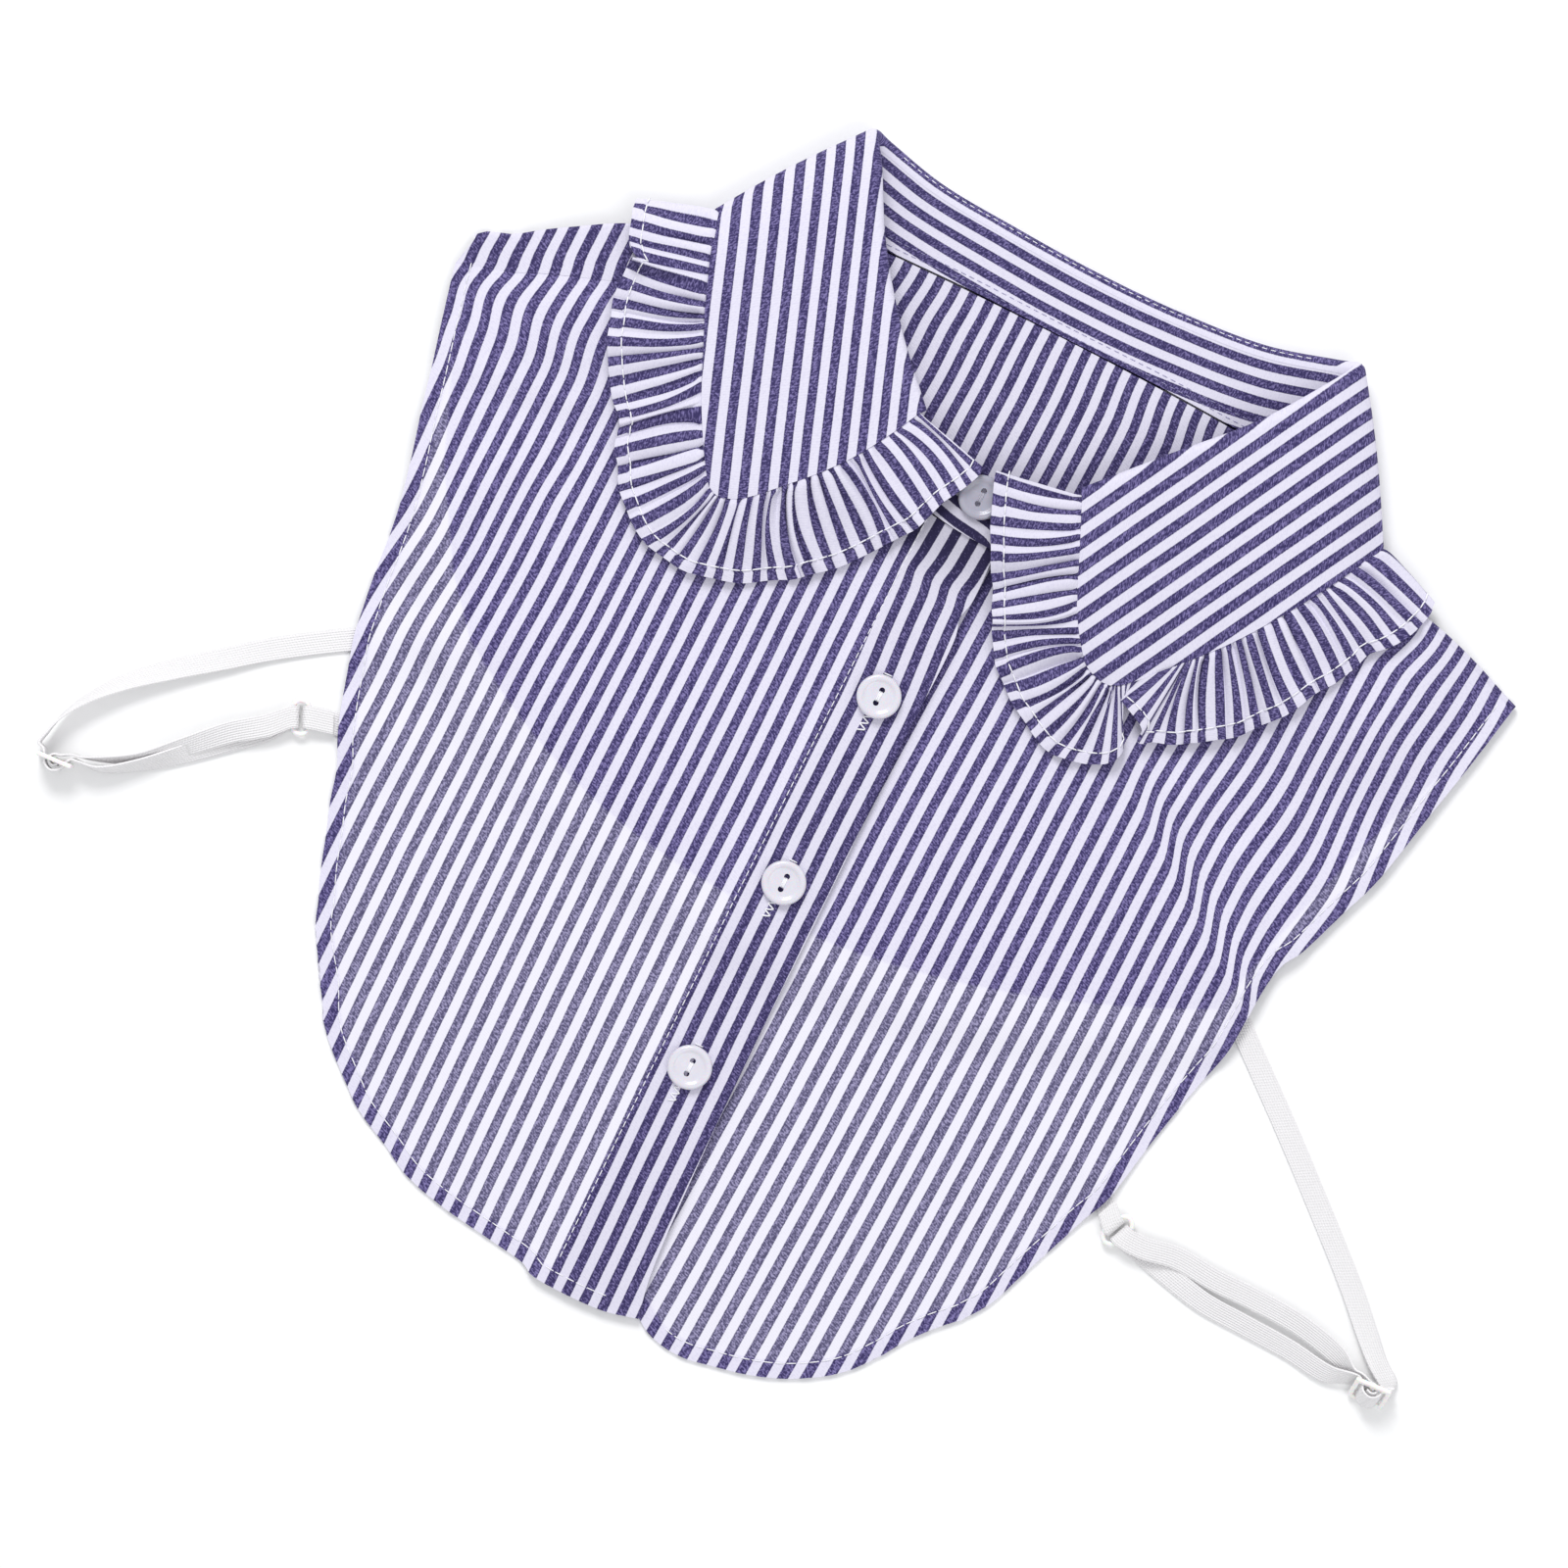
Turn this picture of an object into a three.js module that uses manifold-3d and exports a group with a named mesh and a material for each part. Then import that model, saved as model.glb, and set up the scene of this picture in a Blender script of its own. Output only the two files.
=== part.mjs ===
// A detachable shirt collar with half fronts and a back, lying buttoned and face up.
// Millimetres. X runs across the garment, +Y towards the neck and +Z up from the surface it lies on.
// The origin is under the middle button, on that surface. "Left" and "right" are as seen from above.
import * as THREE from "three";
import { mergeVertices } from "three/addons/utils/BufferGeometryUtils.js";
import Module from "manifold-3d";

const wasm = await Module();
wasm.setup();

// Driving sizes
const CLOTH = 1; // wall of the shirting
const COLLAR_WALL = 1.2; // wall of the stiffened collar leaf
const LAYER = 1.7; // from the middle of one cloth to the middle of the next
const SEAM_GAP = 0.7; // between the edges of two cloths that are sewn together
const UNDER_COLLAR = 4.5; // how far the folded-back leaf and its frill lift the back
const NECK_LOFT = 4; // how far the stiff collar holds the front off the back
const CLEAR = 0.1; // left between two things that lie on each other
const ROLL = 1.5; // radius of the roll where the leaf turns over the stand
const LEAF_TURN_IN = 1.5; // how far the leaf reaches down inside the roll
const LEAF_BULGE = 0.8; // how far the middle of the leaf stands off the straight
const FRILL_WAVE = 9.5; // one gather of the frill, along its middle
const FRILL_HEIGHT_FRONT = 1.6; // half the height of a gather that lies on the front
const FRILL_HEIGHT_UNDER = 1.2; // the same under the back
const BUTTON = { radius: 6, thick: 1.8, rim: 0.5, hole: 0.75, holeApart: 3.7 };
const BUTTON_ROWS = [55.5, 0, -55];
const TOP_BUTTON = { y: 114.5, z: 13.1 };
const ELASTIC = { wide: 6, thick: 0.8 };
const RING = { wire: 0.7, bend: 2.1, straight: 4.8 };
const SLIDER = { bar: 1.2, pitch: 4.4, slot: 6.6, rail: 1.3, thick: 1.2 };

const COLOURS = { shirting: "#a7a3c6", button: "#efedf7", elastic: "#f1eeee", plastic: "#f0eee8" };
const cloth = new THREE.MeshStandardMaterial({ color: COLOURS.shirting, roughness: 0.85 });
const pearl = new THREE.MeshStandardMaterial({ color: COLOURS.button, roughness: 0.3 });
const webbing = new THREE.MeshStandardMaterial({ color: COLOURS.elastic, roughness: 0.8 });
const plastic = new THREE.MeshStandardMaterial({ color: COLOURS.plastic, roughness: 0.4 });

const { lerp, degToRad, clamp } = THREE.MathUtils;
const ease = (low, high, v) => THREE.MathUtils.smoothstep(v, low, high);

// A table's rows as objects, from its column names and numbers.
function table(columns, rows) {
  const names = columns.split(" ");
  return rows.map((row) => Object.fromEntries(names.map((name, i) => [name, row[i]])));
}

// A smooth line through a table's rows, read from one group of its columns.
function through(rows, x = "x", y = "y", z = "z") {
  const points = rows.map((row) => new THREE.Vector3(row[x], row[y], row[z] ?? 0));
  return new THREE.CatmullRomCurve3(points, false, "centripetal");
}

// Outlines of the cloths as they lie. Each half front starts at its centre edge.
const OVER_CENTRE = table("x y", [[18, -121.5], [14, -90], [12.8, -50], [12, 0], [11, 60], [10, 104.8]]);
const OVER_HEM = table("x y", [
  [18, -121.5], [-6, -123], [-32, -121], [-56, -115], [-80, -102], [-100, -80],
]);
const OVER_SIDE = table("x y", [
  [-100, -80], [-110, -56], [-120, -28], [-128, -6], [-134, 25], [-140, 58], [-147, 82], [-152.5, 109],
]);
const UNDER_CENTRE = table("x y", [[-9, -119], [-9, 0], [-9, 104.8]]);
const UNDER_HEM = table("x y", [
  [-9, -119], [16, -119.5], [30, -124], [46, -122], [64, -115], [78, -104], [92, -85],
]);
const UNDER_SIDE = table("x y", [
  [92, -85], [101, -72], [109, -53], [116, -33], [118, -18], [124.5, 12], [126, 30], [133, 50],
  [141, 80], [144, 96], [151.5, 127],
]);
const BACK_LEFT = { x: -104, y: 20, hemPower: 2.4 };
const BACK_RIGHT = { x: 118, y: 22.5, hemPower: 1.9 };
const BACK_HEM_LOW = -9.5;
const BACK_LEFT_SIDE = table("x y", [
  [-104, 20], [-116, 34], [-131, 58], [-140, 80], [-147, 100], [-151, 117.5],
]);
const BACK_RIGHT_SIDE = table("x y", [[118, 22.5], [123, 45], [131, 73], [141, 101], [152, 130]]);
const LEFT_SHOULDER = table("x y", [
  [-84, 157], [-95, 147.5], [-105, 141.5], [-115, 136], [-127, 130], [-151, 117.5],
]);
const RIGHT_SHOULDER = table("x y", [
  [84, 157], [95, 147.5], [106, 141.5], [117, 138.8], [130, 137.2], [152, 130],
]);
const LEFT_SEAM = table("x y", [[-71, 140], [-112, 123.8], [-152.5, 109]]);
const RIGHT_SEAM = table("x y", [[80, 151.5], [96, 142.5], [112, 136.8], [130, 132.5], [151.5, 127]]);
const NECK_LOW = 104; // the neckline at the centre front
const NECK_SIDE = { x: 84, y: 158 };
const BACK_NECK = 162;

// Where the cloths come up over one another, as a place where each rise starts and one where it
// ends. Under the collar, and where the collar holds the front up: along y, and back down along x.
const LIFTED = { y: [80, 113], x: [120, 148] };
const LOFTED = { y: [45, 110], x: [45, 100] };
// How far past the hem and the sides of the back the front comes down to the surface.
const DRAPE = { hem: [26, 12], side: [12, 24] };
// Across x, where the over front comes up on the other's edge and where its step ends.
const LAP = { left: [-18, -10.5], right: [19, 26] };

const neckline = (x) => NECK_LOW + (NECK_SIDE.y - NECK_LOW) * (x / NECK_SIDE.x) ** 2;

function backHem(x) {
  const corner = x < 0 ? BACK_LEFT : BACK_RIGHT;
  return BACK_HEM_LOW + (corner.y - BACK_HEM_LOW) * Math.abs(x / corner.x) ** corner.hemPower;
}

function backSide(x, y) {
  const [corner, tip] = x < 0 ? [BACK_LEFT, LEFT_SHOULDER.at(-1)] : [BACK_RIGHT, RIGHT_SHOULDER.at(-1)];
  return Math.abs(lerp(corner.x, tip.x, clamp((y - corner.y) / (tip.y - corner.y), 0, 1)));
}

// Folds of the front: each is a ridge from one point to another.
const FOLDS = table("x y toX toY wide high", [
  [84, 68, 121, 30, 6, 1.8],
  [104, 62, 128, 44, 4, 1.1],
  [96, 100, 112, 78, 6, 0.9],
  [-138, 84, -106, 88, 4, 0.7],
  [-116, 66, -128, 30, 5, 0.8],
  [-9, 84, 9, 81, 3, 0.8],
  [-98, 22, -136, 4, 12, 1.7],
  [112, 31, 130, 18, 12, 1.7],
  [-112, -16, -130, -16, 11, 1.6],
  [104, -29, 119, -39, 11, 1.6],
]);

function foldHeight(x, y) {
  let sum = 0;
  for (const fold of FOLDS) {
    const [dx, dy] = [fold.toX - fold.x, fold.toY - fold.y];
    const along = clamp(((x - fold.x) * dx + (y - fold.y) * dy) / (dx * dx + dy * dy), 0, 1);
    const away = Math.hypot(x - fold.x - along * dx, y - fold.y - along * dy);
    sum += fold.high * Math.exp(-((away / fold.wide) ** 2));
  }
  return sum;
}

// Heights of the middle of each cloth above the surface.
const backHeight = (x, y) =>
  CLOTH / 2 + UNDER_COLLAR * ease(...LIFTED.y, y) * (1 - ease(...LIFTED.x, Math.abs(x)));

function frontHeight(x, y) {
  const [inHem, pastSide] = [y - backHem(x), Math.abs(x) - backSide(x, y)];
  const overBack = ease(-DRAPE.hem[0], -DRAPE.hem[1], inHem) * (1 - ease(...DRAPE.side, pastSide));
  const loft = NECK_LOFT * ease(...LOFTED.y, y) * (1 - ease(...LOFTED.x, Math.abs(x)));
  return backHeight(x, y) + LAYER * overBack + loft + foldHeight(x, y);
}

// The over front also lies on the edge of the other one, along the centre.
const topHeight = (x, y) =>
  frontHeight(x, y) + LAYER * ease(...LAP.left, x) * (1 - ease(...LAP.right, x));

// A closed solid from a grid of points down the middle of a cloth: each point moves half the
// wall out along its normal and half in, and the edges of the cells that are present are closed.
function thickSheet(grid, wall, present = () => true) {
  const [columns, rows] = [grid.length, grid[0].length];
  const at = (i, j) => grid[clamp(i, 0, columns - 1)][clamp(j, 0, rows - 1)] ?? null;
  const index = (i, j, side) => (i * rows + j) * 2 + side;
  const positions = [];
  for (let i = 0; i < columns; i++) {
    for (let j = 0; j < rows; j++) {
      const point = at(i, j) ?? new THREE.Vector3();
      const [west, east] = [at(i - 1, j) ?? point, at(i + 1, j) ?? point];
      const [south, north] = [at(i, j - 1) ?? point, at(i, j + 1) ?? point];
      const normal = east.clone().sub(west).cross(north.clone().sub(south)).normalize();
      for (const side of [1, -1]) {
        positions.push(...point.clone().addScaledVector(normal, (side * wall) / 2));
      }
    }
  }
  const cell = (i, j) => i >= 0 && j >= 0 && i < columns - 1 && j < rows - 1 && present(i, j);
  const faces = [];
  const quad = (a, b, c, d) => faces.push(a, b, c, a, c, d);
  for (let i = 0; i < columns - 1; i++) {
    for (let j = 0; j < rows - 1; j++) {
      if (!cell(i, j)) continue;
      const corners = [[i, j], [i + 1, j], [i + 1, j + 1], [i, j + 1]];
      quad(...corners.map(([a, b]) => index(a, b, 0)));
      quad(...corners.map(([a, b]) => index(a, b, 1)).reverse());
      const neighbours = [[i, j - 1], [i + 1, j], [i, j + 1], [i - 1, j]];
      neighbours.forEach(([a, b], k) => {
        if (cell(a, b)) return;
        const [from, to] = [corners[k], corners[(k + 1) % 4]];
        quad(index(...from, 0), index(...from, 1), index(...to, 1), index(...to, 0));
      });
    }
  }
  return mergedFaces(positions, faces);
}

function mergedFaces(positions, faces) {
  const geometry = new THREE.BufferGeometry();
  geometry.setAttribute("position", new THREE.Float32BufferAttribute(positions, 3));
  geometry.setIndex(faces);
  return geometry;
}

// A patch between four edges, each a function of 0 to 1.
function patch(bottom, top, left, right, across, up) {
  return across.map((s) => up.map((t) => {
    const point = bottom(s).multiplyScalar(1 - t).addScaledVector(top(s), t);
    point.addScaledVector(left(t), 1 - s).addScaledVector(right(t), s);
    const corners = [
      [bottom(0), (1 - s) * (1 - t)], [bottom(1), s * (1 - t)],
      [top(0), (1 - s) * t], [top(1), s * t],
    ];
    for (const [corner, share] of corners) point.addScaledVector(corner, -share);
    return point;
  }));
}

const steps = (count) => Array.from({ length: count + 1 }, (_, i) => i / count);

// A half front: its top edge is the neckline for half its columns and the shoulder seam for the rest.
function halfFront(centre, hem, side, seam, height) {
  const [columns, rows] = [14, 20];
  const [centreLine, hemLine, sideLine, seamLine] = [centre, hem, side, seam].map((list) => through(list));
  const [neckFrom, neckTo] = [centre.at(-1).x, seam[0].x];
  const top = (s) => {
    if (s > 0.5) return seamLine.getPointAt(2 * s - 1);
    const x = lerp(neckFrom, neckTo, 2 * s);
    const short = ease(0.25, 0.5, s) * (seam[0].y - neckline(neckTo));
    return new THREE.Vector3(x, neckline(x) + short, 0);
  };
  const at = (line) => (t) => line.getPointAt(t);
  const grid = patch(at(hemLine), top, at(centreLine), at(sideLine), steps(columns), steps(rows));
  grid.flat().forEach((point) => {
    point.z = height(point.x, point.y);
  });
  return grid[0][0].x > grid[columns][0].x ? grid.reverse() : grid;
}

// The back, with the strip that turns over each shoulder to the seam on the front.
function backPanel() {
  const [shoulderColumns, neckColumns, bodyRows, turnRows, flatRows] = [6, 8, 14, 3, 2];
  const sides = [
    { shoulder: through(LEFT_SHOULDER), seam: through(LEFT_SEAM) },
    { shoulder: through(RIGHT_SHOULDER), seam: through(RIGHT_SEAM) },
  ];
  const columns = 2 * shoulderColumns + neckColumns;
  const shoulderOf = (i) => {
    if (i <= shoulderColumns) return { side: sides[0], share: 1 - i / shoulderColumns };
    if (i >= columns - shoulderColumns) {
      return { side: sides[1], share: (i - columns + shoulderColumns) / shoulderColumns };
    }
    return null;
  };
  const rollAt = (i) => {
    const { side, share } = shoulderOf(i);
    const edge = side.shoulder.getPointAt(share);
    const tangent = side.shoulder.getTangentAt(share);
    const out = new THREE.Vector3(Math.abs(tangent.y) * Math.sign(edge.x), Math.abs(tangent.x), 0);
    const low = backHeight(edge.x, edge.y);
    const radius = (frontHeight(edge.x, edge.y) - foldHeight(edge.x, edge.y) - low) / 2;
    return { edge, out, low, radius, seam: side.seam.getPointAt(share) };
  };
  const top = (s) => {
    const i = Math.round(s * columns);
    if (shoulderOf(i)) {
      const { edge, out, radius } = rollAt(i);
      return edge.clone().addScaledVector(out, -radius);
    }
    const share = (i - shoulderColumns) / neckColumns;
    const [from, to] = [top(shoulderColumns / columns), top(1 - shoulderColumns / columns)];
    const y = lerp(from.y, BACK_NECK, Math.sin(Math.PI * share) ** 0.3);
    return new THREE.Vector3(lerp(from.x, to.x, share), y, 0);
  };
  const hem = (s) => {
    const x = lerp(BACK_LEFT.x, BACK_RIGHT.x, s);
    return new THREE.Vector3(x, backHem(x), 0);
  };
  const [leftSide, rightSide] = [BACK_LEFT_SIDE, BACK_RIGHT_SIDE].map((rows) => through(rows));
  const fit = (line, end) => (t) => line.getPointAt(t).lerp(end, ease(0.8, 1, t));
  const [left, right] = [fit(leftSide, top(0)), fit(rightSide, top(1))];
  const grid = patch(hem, top, left, right, steps(columns), steps(bodyRows));
  grid.forEach((column, i) => {
    column.forEach((point) => {
      point.z = backHeight(point.x, point.y);
    });
    for (let k = 1; k <= turnRows + flatRows; k++) {
      if (!shoulderOf(i)) {
        column.push(null);
        continue;
      }
      const { edge, out, low, radius, seam } = rollAt(i);
      const turn = Math.min(k / turnRows, 1) * Math.PI;
      const point = edge.clone().addScaledVector(out, radius * (Math.sin(turn) - 1));
      point.z = low + radius * (1 - Math.cos(turn));
      if (k > turnRows) {
        const share = (k - turnRows) / flatRows;
        point.lerp(seam, share * (1 - SEAM_GAP / point.distanceTo(seam)));
        point.z = frontHeight(point.x, point.y);
      }
      column.push(point);
    }
  });
  const onNeck = (i) => i >= shoulderColumns && i < columns - shoulderColumns;
  return { grid, present: (i, j) => j < bodyRows || !onNeck(i) };
}

// The collar, row by row from the left front, round the back, to the right front. Columns:
// fold is the middle of the roll, and lean says which way the leaf lies from the stand: 90 on
// top of it at the front, 0 outside it at the side of the neck, -90 under it at the back.
// seam is the leaf's outer edge, where the frill starts, and neck the foot of the stand.
const COLLAR = table("foldX foldY foldZ lean seamX seamY seamZ neckX neckY neckZ", [
  [-24.5, 127, 14, 90, -62, 83.5, 9, -26, 110, 10.7],
  [-40, 143, 14, 90, -75, 97, 9.6, -44, 119.8, 10.9],
  [-54.5, 162, 13, 88, -85, 121, 10.8, -61, 133.8, 10.2],
  [-64.5, 179.5, 11.4, 70, -93.5, 141.5, 10.6, -76.5, 150.4, 8.8],
  [-69, 187, 8.3, 0, -97.5, 150.5, 6.5, -84.6, 159.6, 7],
  [-65, 186.3, 5.4, -70, -91, 149, 2.6, -79, 161.8, 5.2],
  [-48, 183, 3.6, -88, -66, 143, 1.6, -56, 162.7, 5],
  [-24, 181, 3.5, -90, -32, 138.5, 1.4, -28, 162.7, 5],
  [0, 180.2, 3.5, -90, 0, 137, 1.4, 0, 162.7, 5],
  [24, 181, 3.5, -90, 32, 138.5, 1.4, 28, 162.7, 5],
  [50, 184.5, 3.6, -88, 67, 143, 1.6, 56, 162.7, 5],
  [69, 188.8, 5.4, -70, 93, 150, 2.6, 79, 161.8, 5.2],
  [73.8, 190, 8.3, 0, 101, 151.5, 6.5, 84.6, 159.6, 7],
  [68.5, 180.5, 11.4, 70, 95.5, 141, 10.6, 76.5, 150.4, 8.8],
  [57, 164, 13, 88, 84, 121, 10.8, 61, 133.8, 10.2],
  [41, 146.5, 14, 90, 68, 100, 9.6, 44, 119.8, 10.9],
  [23.5, 127, 14, 90, 51, 85.3, 9, 26, 110, 10.7],
]);

// The leaf's front edges, from the roll to the point of the collar.
const LEFT_FRONT_EDGE = table("x y", [
  [-24.5, 127], [-29, 118], [-35, 109], [-42, 99], [-50, 90], [-62, 83.5],
]);
const RIGHT_FRONT_EDGE = table("x y", [
  [23.5, 127], [27.5, 119], [32, 110], [36.5, 101], [42, 92], [51, 85.3],
]);

// The stand's ends, past the leaf, where one laps over the other under the top button.
const STAND_OVER_END = table("topX topY topZ neckX neckY neckZ", [
  [11, 118, 12.3, 11, 105.6, 11.8],
  [6, 122.5, 12.3, 6, 105, 11.8],
  [-4, 124.5, 12.3, -4, 104.8, 11.8],
  [-14, 126, 12.4, -14, 106.4, 11.2],
]);
const STAND_UNDER_END = table("topX topY topZ neckX neckY neckZ", [
  [14, 126, 10.9, 14, 106.4, 10.2],
  [4, 124.5, 10.6, 4, 104.8, 10.2],
  [-6, 122.5, 10.6, -6, 105, 10.2],
  [-11, 118, 10.6, -11, 105.6, 10.2],
]);

// The frill, from the left front round the back to the right front: where it is sewn to the leaf,
// its free edge, the way its gathers rise as lean gives it above, and the share of their height.
// A free edge with no height of its own lies on the cloth below it.
const FRILL = table("x y z edgeX edgeY edgeZ lean rise", [
  [-24.5, 127, 15.5, -1.4, 121.6, 16.8, 90, 0.4],
  [-29, 118, 14.9, -8, 108.5, 15.9, 90, 0.5],
  [-35, 109, 14, -13.5, 98.5, 0, 90, 0.8],
  [-42, 99, 12.7, -21, 88, 0, 90, 1],
  [-50, 90, 11, -30, 77.5, 0, 90, 1],
  [-57, 85.6, 9.8, -43, 66.5, 0, 90, 1],
  [-62, 83.5, 9, -57, 62, 0, 90, 1],
  [-66, 86, 9.2, -72, 63.5, 0, 90, 1],
  [-70, 90.5, 9.4, -85, 72, 0, 90, 1],
  [-75, 97, 9.6, -95, 86, 0, 90, 1],
  [-80.5, 108, 10.3, -103, 98.5, 0, 90, 1],
  [-85, 121, 10.8, -109, 111, 0, 88, 1],
  [-89.7, 132, 11, -112, 124.5, 0, 80, 1],
  [-93.5, 141.5, 10.6, -115.5, 134, 0, 70, 0.8],
  [-97.5, 150.5, 6.5, -117.5, 143, 5, 0, 0.6],
  [-91, 149, 2.6, -106, 131, 0, -70, 0.8],
  [-66, 143, 1.6, -72, 120, 0, -88, 1],
  [-32, 138.5, 1.4, -34, 115, 0, -90, 1],
  [0, 137, 1.4, 0, 113.5, 0, -90, 1],
  [32, 138.5, 1.4, 34, 115, 0, -90, 1],
  [67, 143, 1.6, 73, 120, 0, -88, 1],
  [93, 150, 2.6, 108, 131, 0, -70, 0.8],
  [101, 151.5, 6.5, 120.5, 144, 5, 0, 0.6],
  [95.5, 141, 10.6, 117, 134, 0, 70, 0.8],
  [90.2, 131, 11, 112.5, 124.5, 0, 80, 1],
  [84, 121, 10.8, 106, 112, 0, 88, 1],
  [76, 110, 10.2, 98, 100, 0, 90, 1],
  [68, 100, 9.6, 87, 88, 0, 90, 1],
  [61, 92.5, 9.4, 74, 76, 0, 90, 1],
  [55.5, 87.5, 9.2, 63, 67, 0, 90, 1],
  [51, 85.3, 9, 50, 62.5, 0, 90, 1],
  [46, 88.2, 9.9, 36, 67, 0, 90, 1],
  [42, 92, 11, 25, 76, 0, 90, 1],
  [36.5, 101, 12.7, 17, 87, 0, 90, 1],
  [32, 110, 14, 12.5, 98, 0, 90, 0.8],
  [27.5, 119, 14.9, 7.5, 108, 15.9, 90, 0.5],
  [23.5, 127, 15.5, 1.4, 121.6, 16.8, 90, 0.4],
]);

// A number that changes smoothly along a table's rows, and a point that does.
const along = (rows, name) => {
  const values = rows.map((row) => new THREE.Vector3(row[name], 0, 0));
  const line = new THREE.CatmullRomCurve3(values, false, "catmullrom", 0.5);
  return (t) => line.getPoint(t).x;
};
const path = (rows, name) => {
  const line = through(rows, name + "X", name + "Y", name + "Z");
  return (t) => line.getPoint(t);
};

// The way a leaf or a gather rises from what it lies on, at a point whose cloth runs along "run".
function leanNormal(run, lean, x) {
  const side = x < 0 ? 1 : -1;
  const out = new THREE.Vector3(run.y * side, -run.x * side, 0).normalize();
  const turn = degToRad(lean);
  return out.multiplyScalar(Math.cos(turn)).add(new THREE.Vector3(0, 0, Math.sin(turn)));
}

// The middle of the roll at a place along the collar, with the way down to the seam and out of it.
function rollFrame(t) {
  const fold = path(COLLAR, "fold")(t);
  const seam = path(COLLAR, "seam")(t);
  const down = seam.clone().sub(fold).setZ(0).normalize();
  const out = leanNormal(down, along(COLLAR, "lean")(t), fold.x);
  return { fold, seam, down, out };
}

// The collar's tables are followed with this many columns to each of their rows.
const COLLAR_DETAIL = 2;

function collarStand() {
  const roll = LEAF_TURN_IN + 3 * SEAM_GAP;
  const heightSteps = 3;
  const body = steps(COLLAR_DETAIL * (COLLAR.length - 1)).map((t) => {
    const { fold, down, out } = rollFrame(t);
    const top = fold.addScaledVector(out, -ROLL).addScaledVector(down, roll);
    return { top, neck: path(COLLAR, "neck")(t) };
  });
  const end = (rows) => rows.map((row) => ({
    top: new THREE.Vector3(row.topX, row.topY, row.topZ),
    neck: new THREE.Vector3(row.neckX, row.neckY, row.neckZ),
  }));
  const columns = [...end(STAND_OVER_END), ...body, ...end(STAND_UNDER_END)];
  const grid = columns.map(({ top, neck }) => steps(heightSteps).map((t) => neck.clone().lerp(top, t)));
  return thickSheet(grid, CLOTH);
}

function collarLeaf() {
  const edgeBow = (rows, fold, seam) => {
    const line = through(rows);
    return (t) => line.getPointAt(t).sub(fold.clone().lerp(seam, t)).setZ(0);
  };
  const [first, last] = [COLLAR[0], COLLAR.at(-1)];
  const ends = [[first, LEFT_FRONT_EDGE], [last, RIGHT_FRONT_EDGE]].map(([row, rows]) => {
    const fold = new THREE.Vector3(row.foldX, row.foldY, 0);
    return edgeBow(rows, fold, new THREE.Vector3(row.seamX, row.seamY, 0));
  });
  const [turnSteps, leafRows] = [3, 5];
  const bowedRows = 2; // how many rows of the table in from an end its bow dies out
  const grid = steps(COLLAR_DETAIL * (COLLAR.length - 1)).map((s) => {
    const { fold, seam, down, out } = rollFrame(s);
    const inside = fold.clone().addScaledVector(out, -ROLL);
    const column = [inside.clone().addScaledVector(down, LEAF_TURN_IN)];
    for (const t of steps(turnSteps)) {
      const turn = t * Math.PI;
      column.push(fold.clone().addScaledVector(out, -ROLL * Math.cos(turn))
        .addScaledVector(down, -ROLL * Math.sin(turn)));
    }
    const top = column.at(-1);
    for (const t of steps(leafRows).slice(1)) {
      const point = top.clone().lerp(seam, t).addScaledVector(out, LEAF_BULGE * Math.sin(t * Math.PI));
      ends.forEach((bow, k) => {
        const away = Math.abs(s - k) * (COLLAR.length - 1);
        point.addScaledVector(bow(t), 1 - ease(0, bowedRows, away));
      });
      column.push(point);
    }
    return column;
  });
  return thickSheet(grid, COLLAR_WALL);
}

function frill() {
  const [stepsPerGather, stepsAcross] = [4, 3];
  const [seamLine, edgeLine] = [through(FRILL), through(FRILL, "edgeX", "edgeY", "none")];
  const heightOf = (row) => {
    if (row.edgeZ) return row.edgeZ;
    if (row.lean < 0) return CLOTH / 2 + FRILL_HEIGHT_UNDER + CLEAR;
    return topHeight(row.edgeX, row.edgeY) + CLOTH + FRILL_HEIGHT_FRONT + 6 * CLEAR;
  };
  const rows = FRILL.map((row) => ({ ...row, edgeZ: heightOf(row) }));
  const [edgeZ, lean, rise] = ["edgeZ", "lean", "rise"].map((name) => along(rows, name));
  const middle = FRILL.map((row) => ({ x: (row.x + row.edgeX) / 2, y: (row.y + row.edgeY) / 2 }));
  const middleLine = through(middle);
  middleLine.arcLengthDivisions = 400;
  const gathers = Math.round(middleLine.getLength() / FRILL_WAVE);
  const grid = steps(stepsPerGather * gathers).map((u) => {
    const t = middleLine.getUtoTmapping(u);
    const [seam, edge] = [seamLine.getPoint(t), edgeLine.getPoint(t)];
    edge.z = edgeZ(t);
    const run = edge.clone().sub(seam);
    seam.addScaledVector(run, SEAM_GAP / run.length());
    const up = leanNormal(run.clone().setZ(0).normalize(), lean(t), seam.x);
    const half = lean(t) < 0 ? FRILL_HEIGHT_UNDER : FRILL_HEIGHT_FRONT;
    const wave = half * rise(t) * Math.sin(2 * Math.PI * gathers * u);
    const rising = (v) => seam.clone().lerp(edge, v).addScaledVector(up, wave * Math.sqrt(v));
    return steps(stepsAcross).map(rising);
  });
  return thickSheet(grid, CLOTH);
}

// A geometry as a solid that can be cut, and back.
function solidOf(geometry) {
  const bare = new THREE.BufferGeometry();
  bare.setAttribute("position", geometry.attributes.position);
  bare.setIndex(geometry.index);
  const merged = mergeVertices(bare);
  const vertProperties = merged.attributes.position.array;
  const triVerts = new Uint32Array(merged.index.array);
  return new wasm.Manifold(new wasm.Mesh({ numProp: 3, vertProperties, triVerts }));
}

function geometryOf(solid) {
  const { vertProperties, triVerts } = solid.getMesh();
  return mergedFaces([...vertProperties], [...triVerts]);
}

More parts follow.
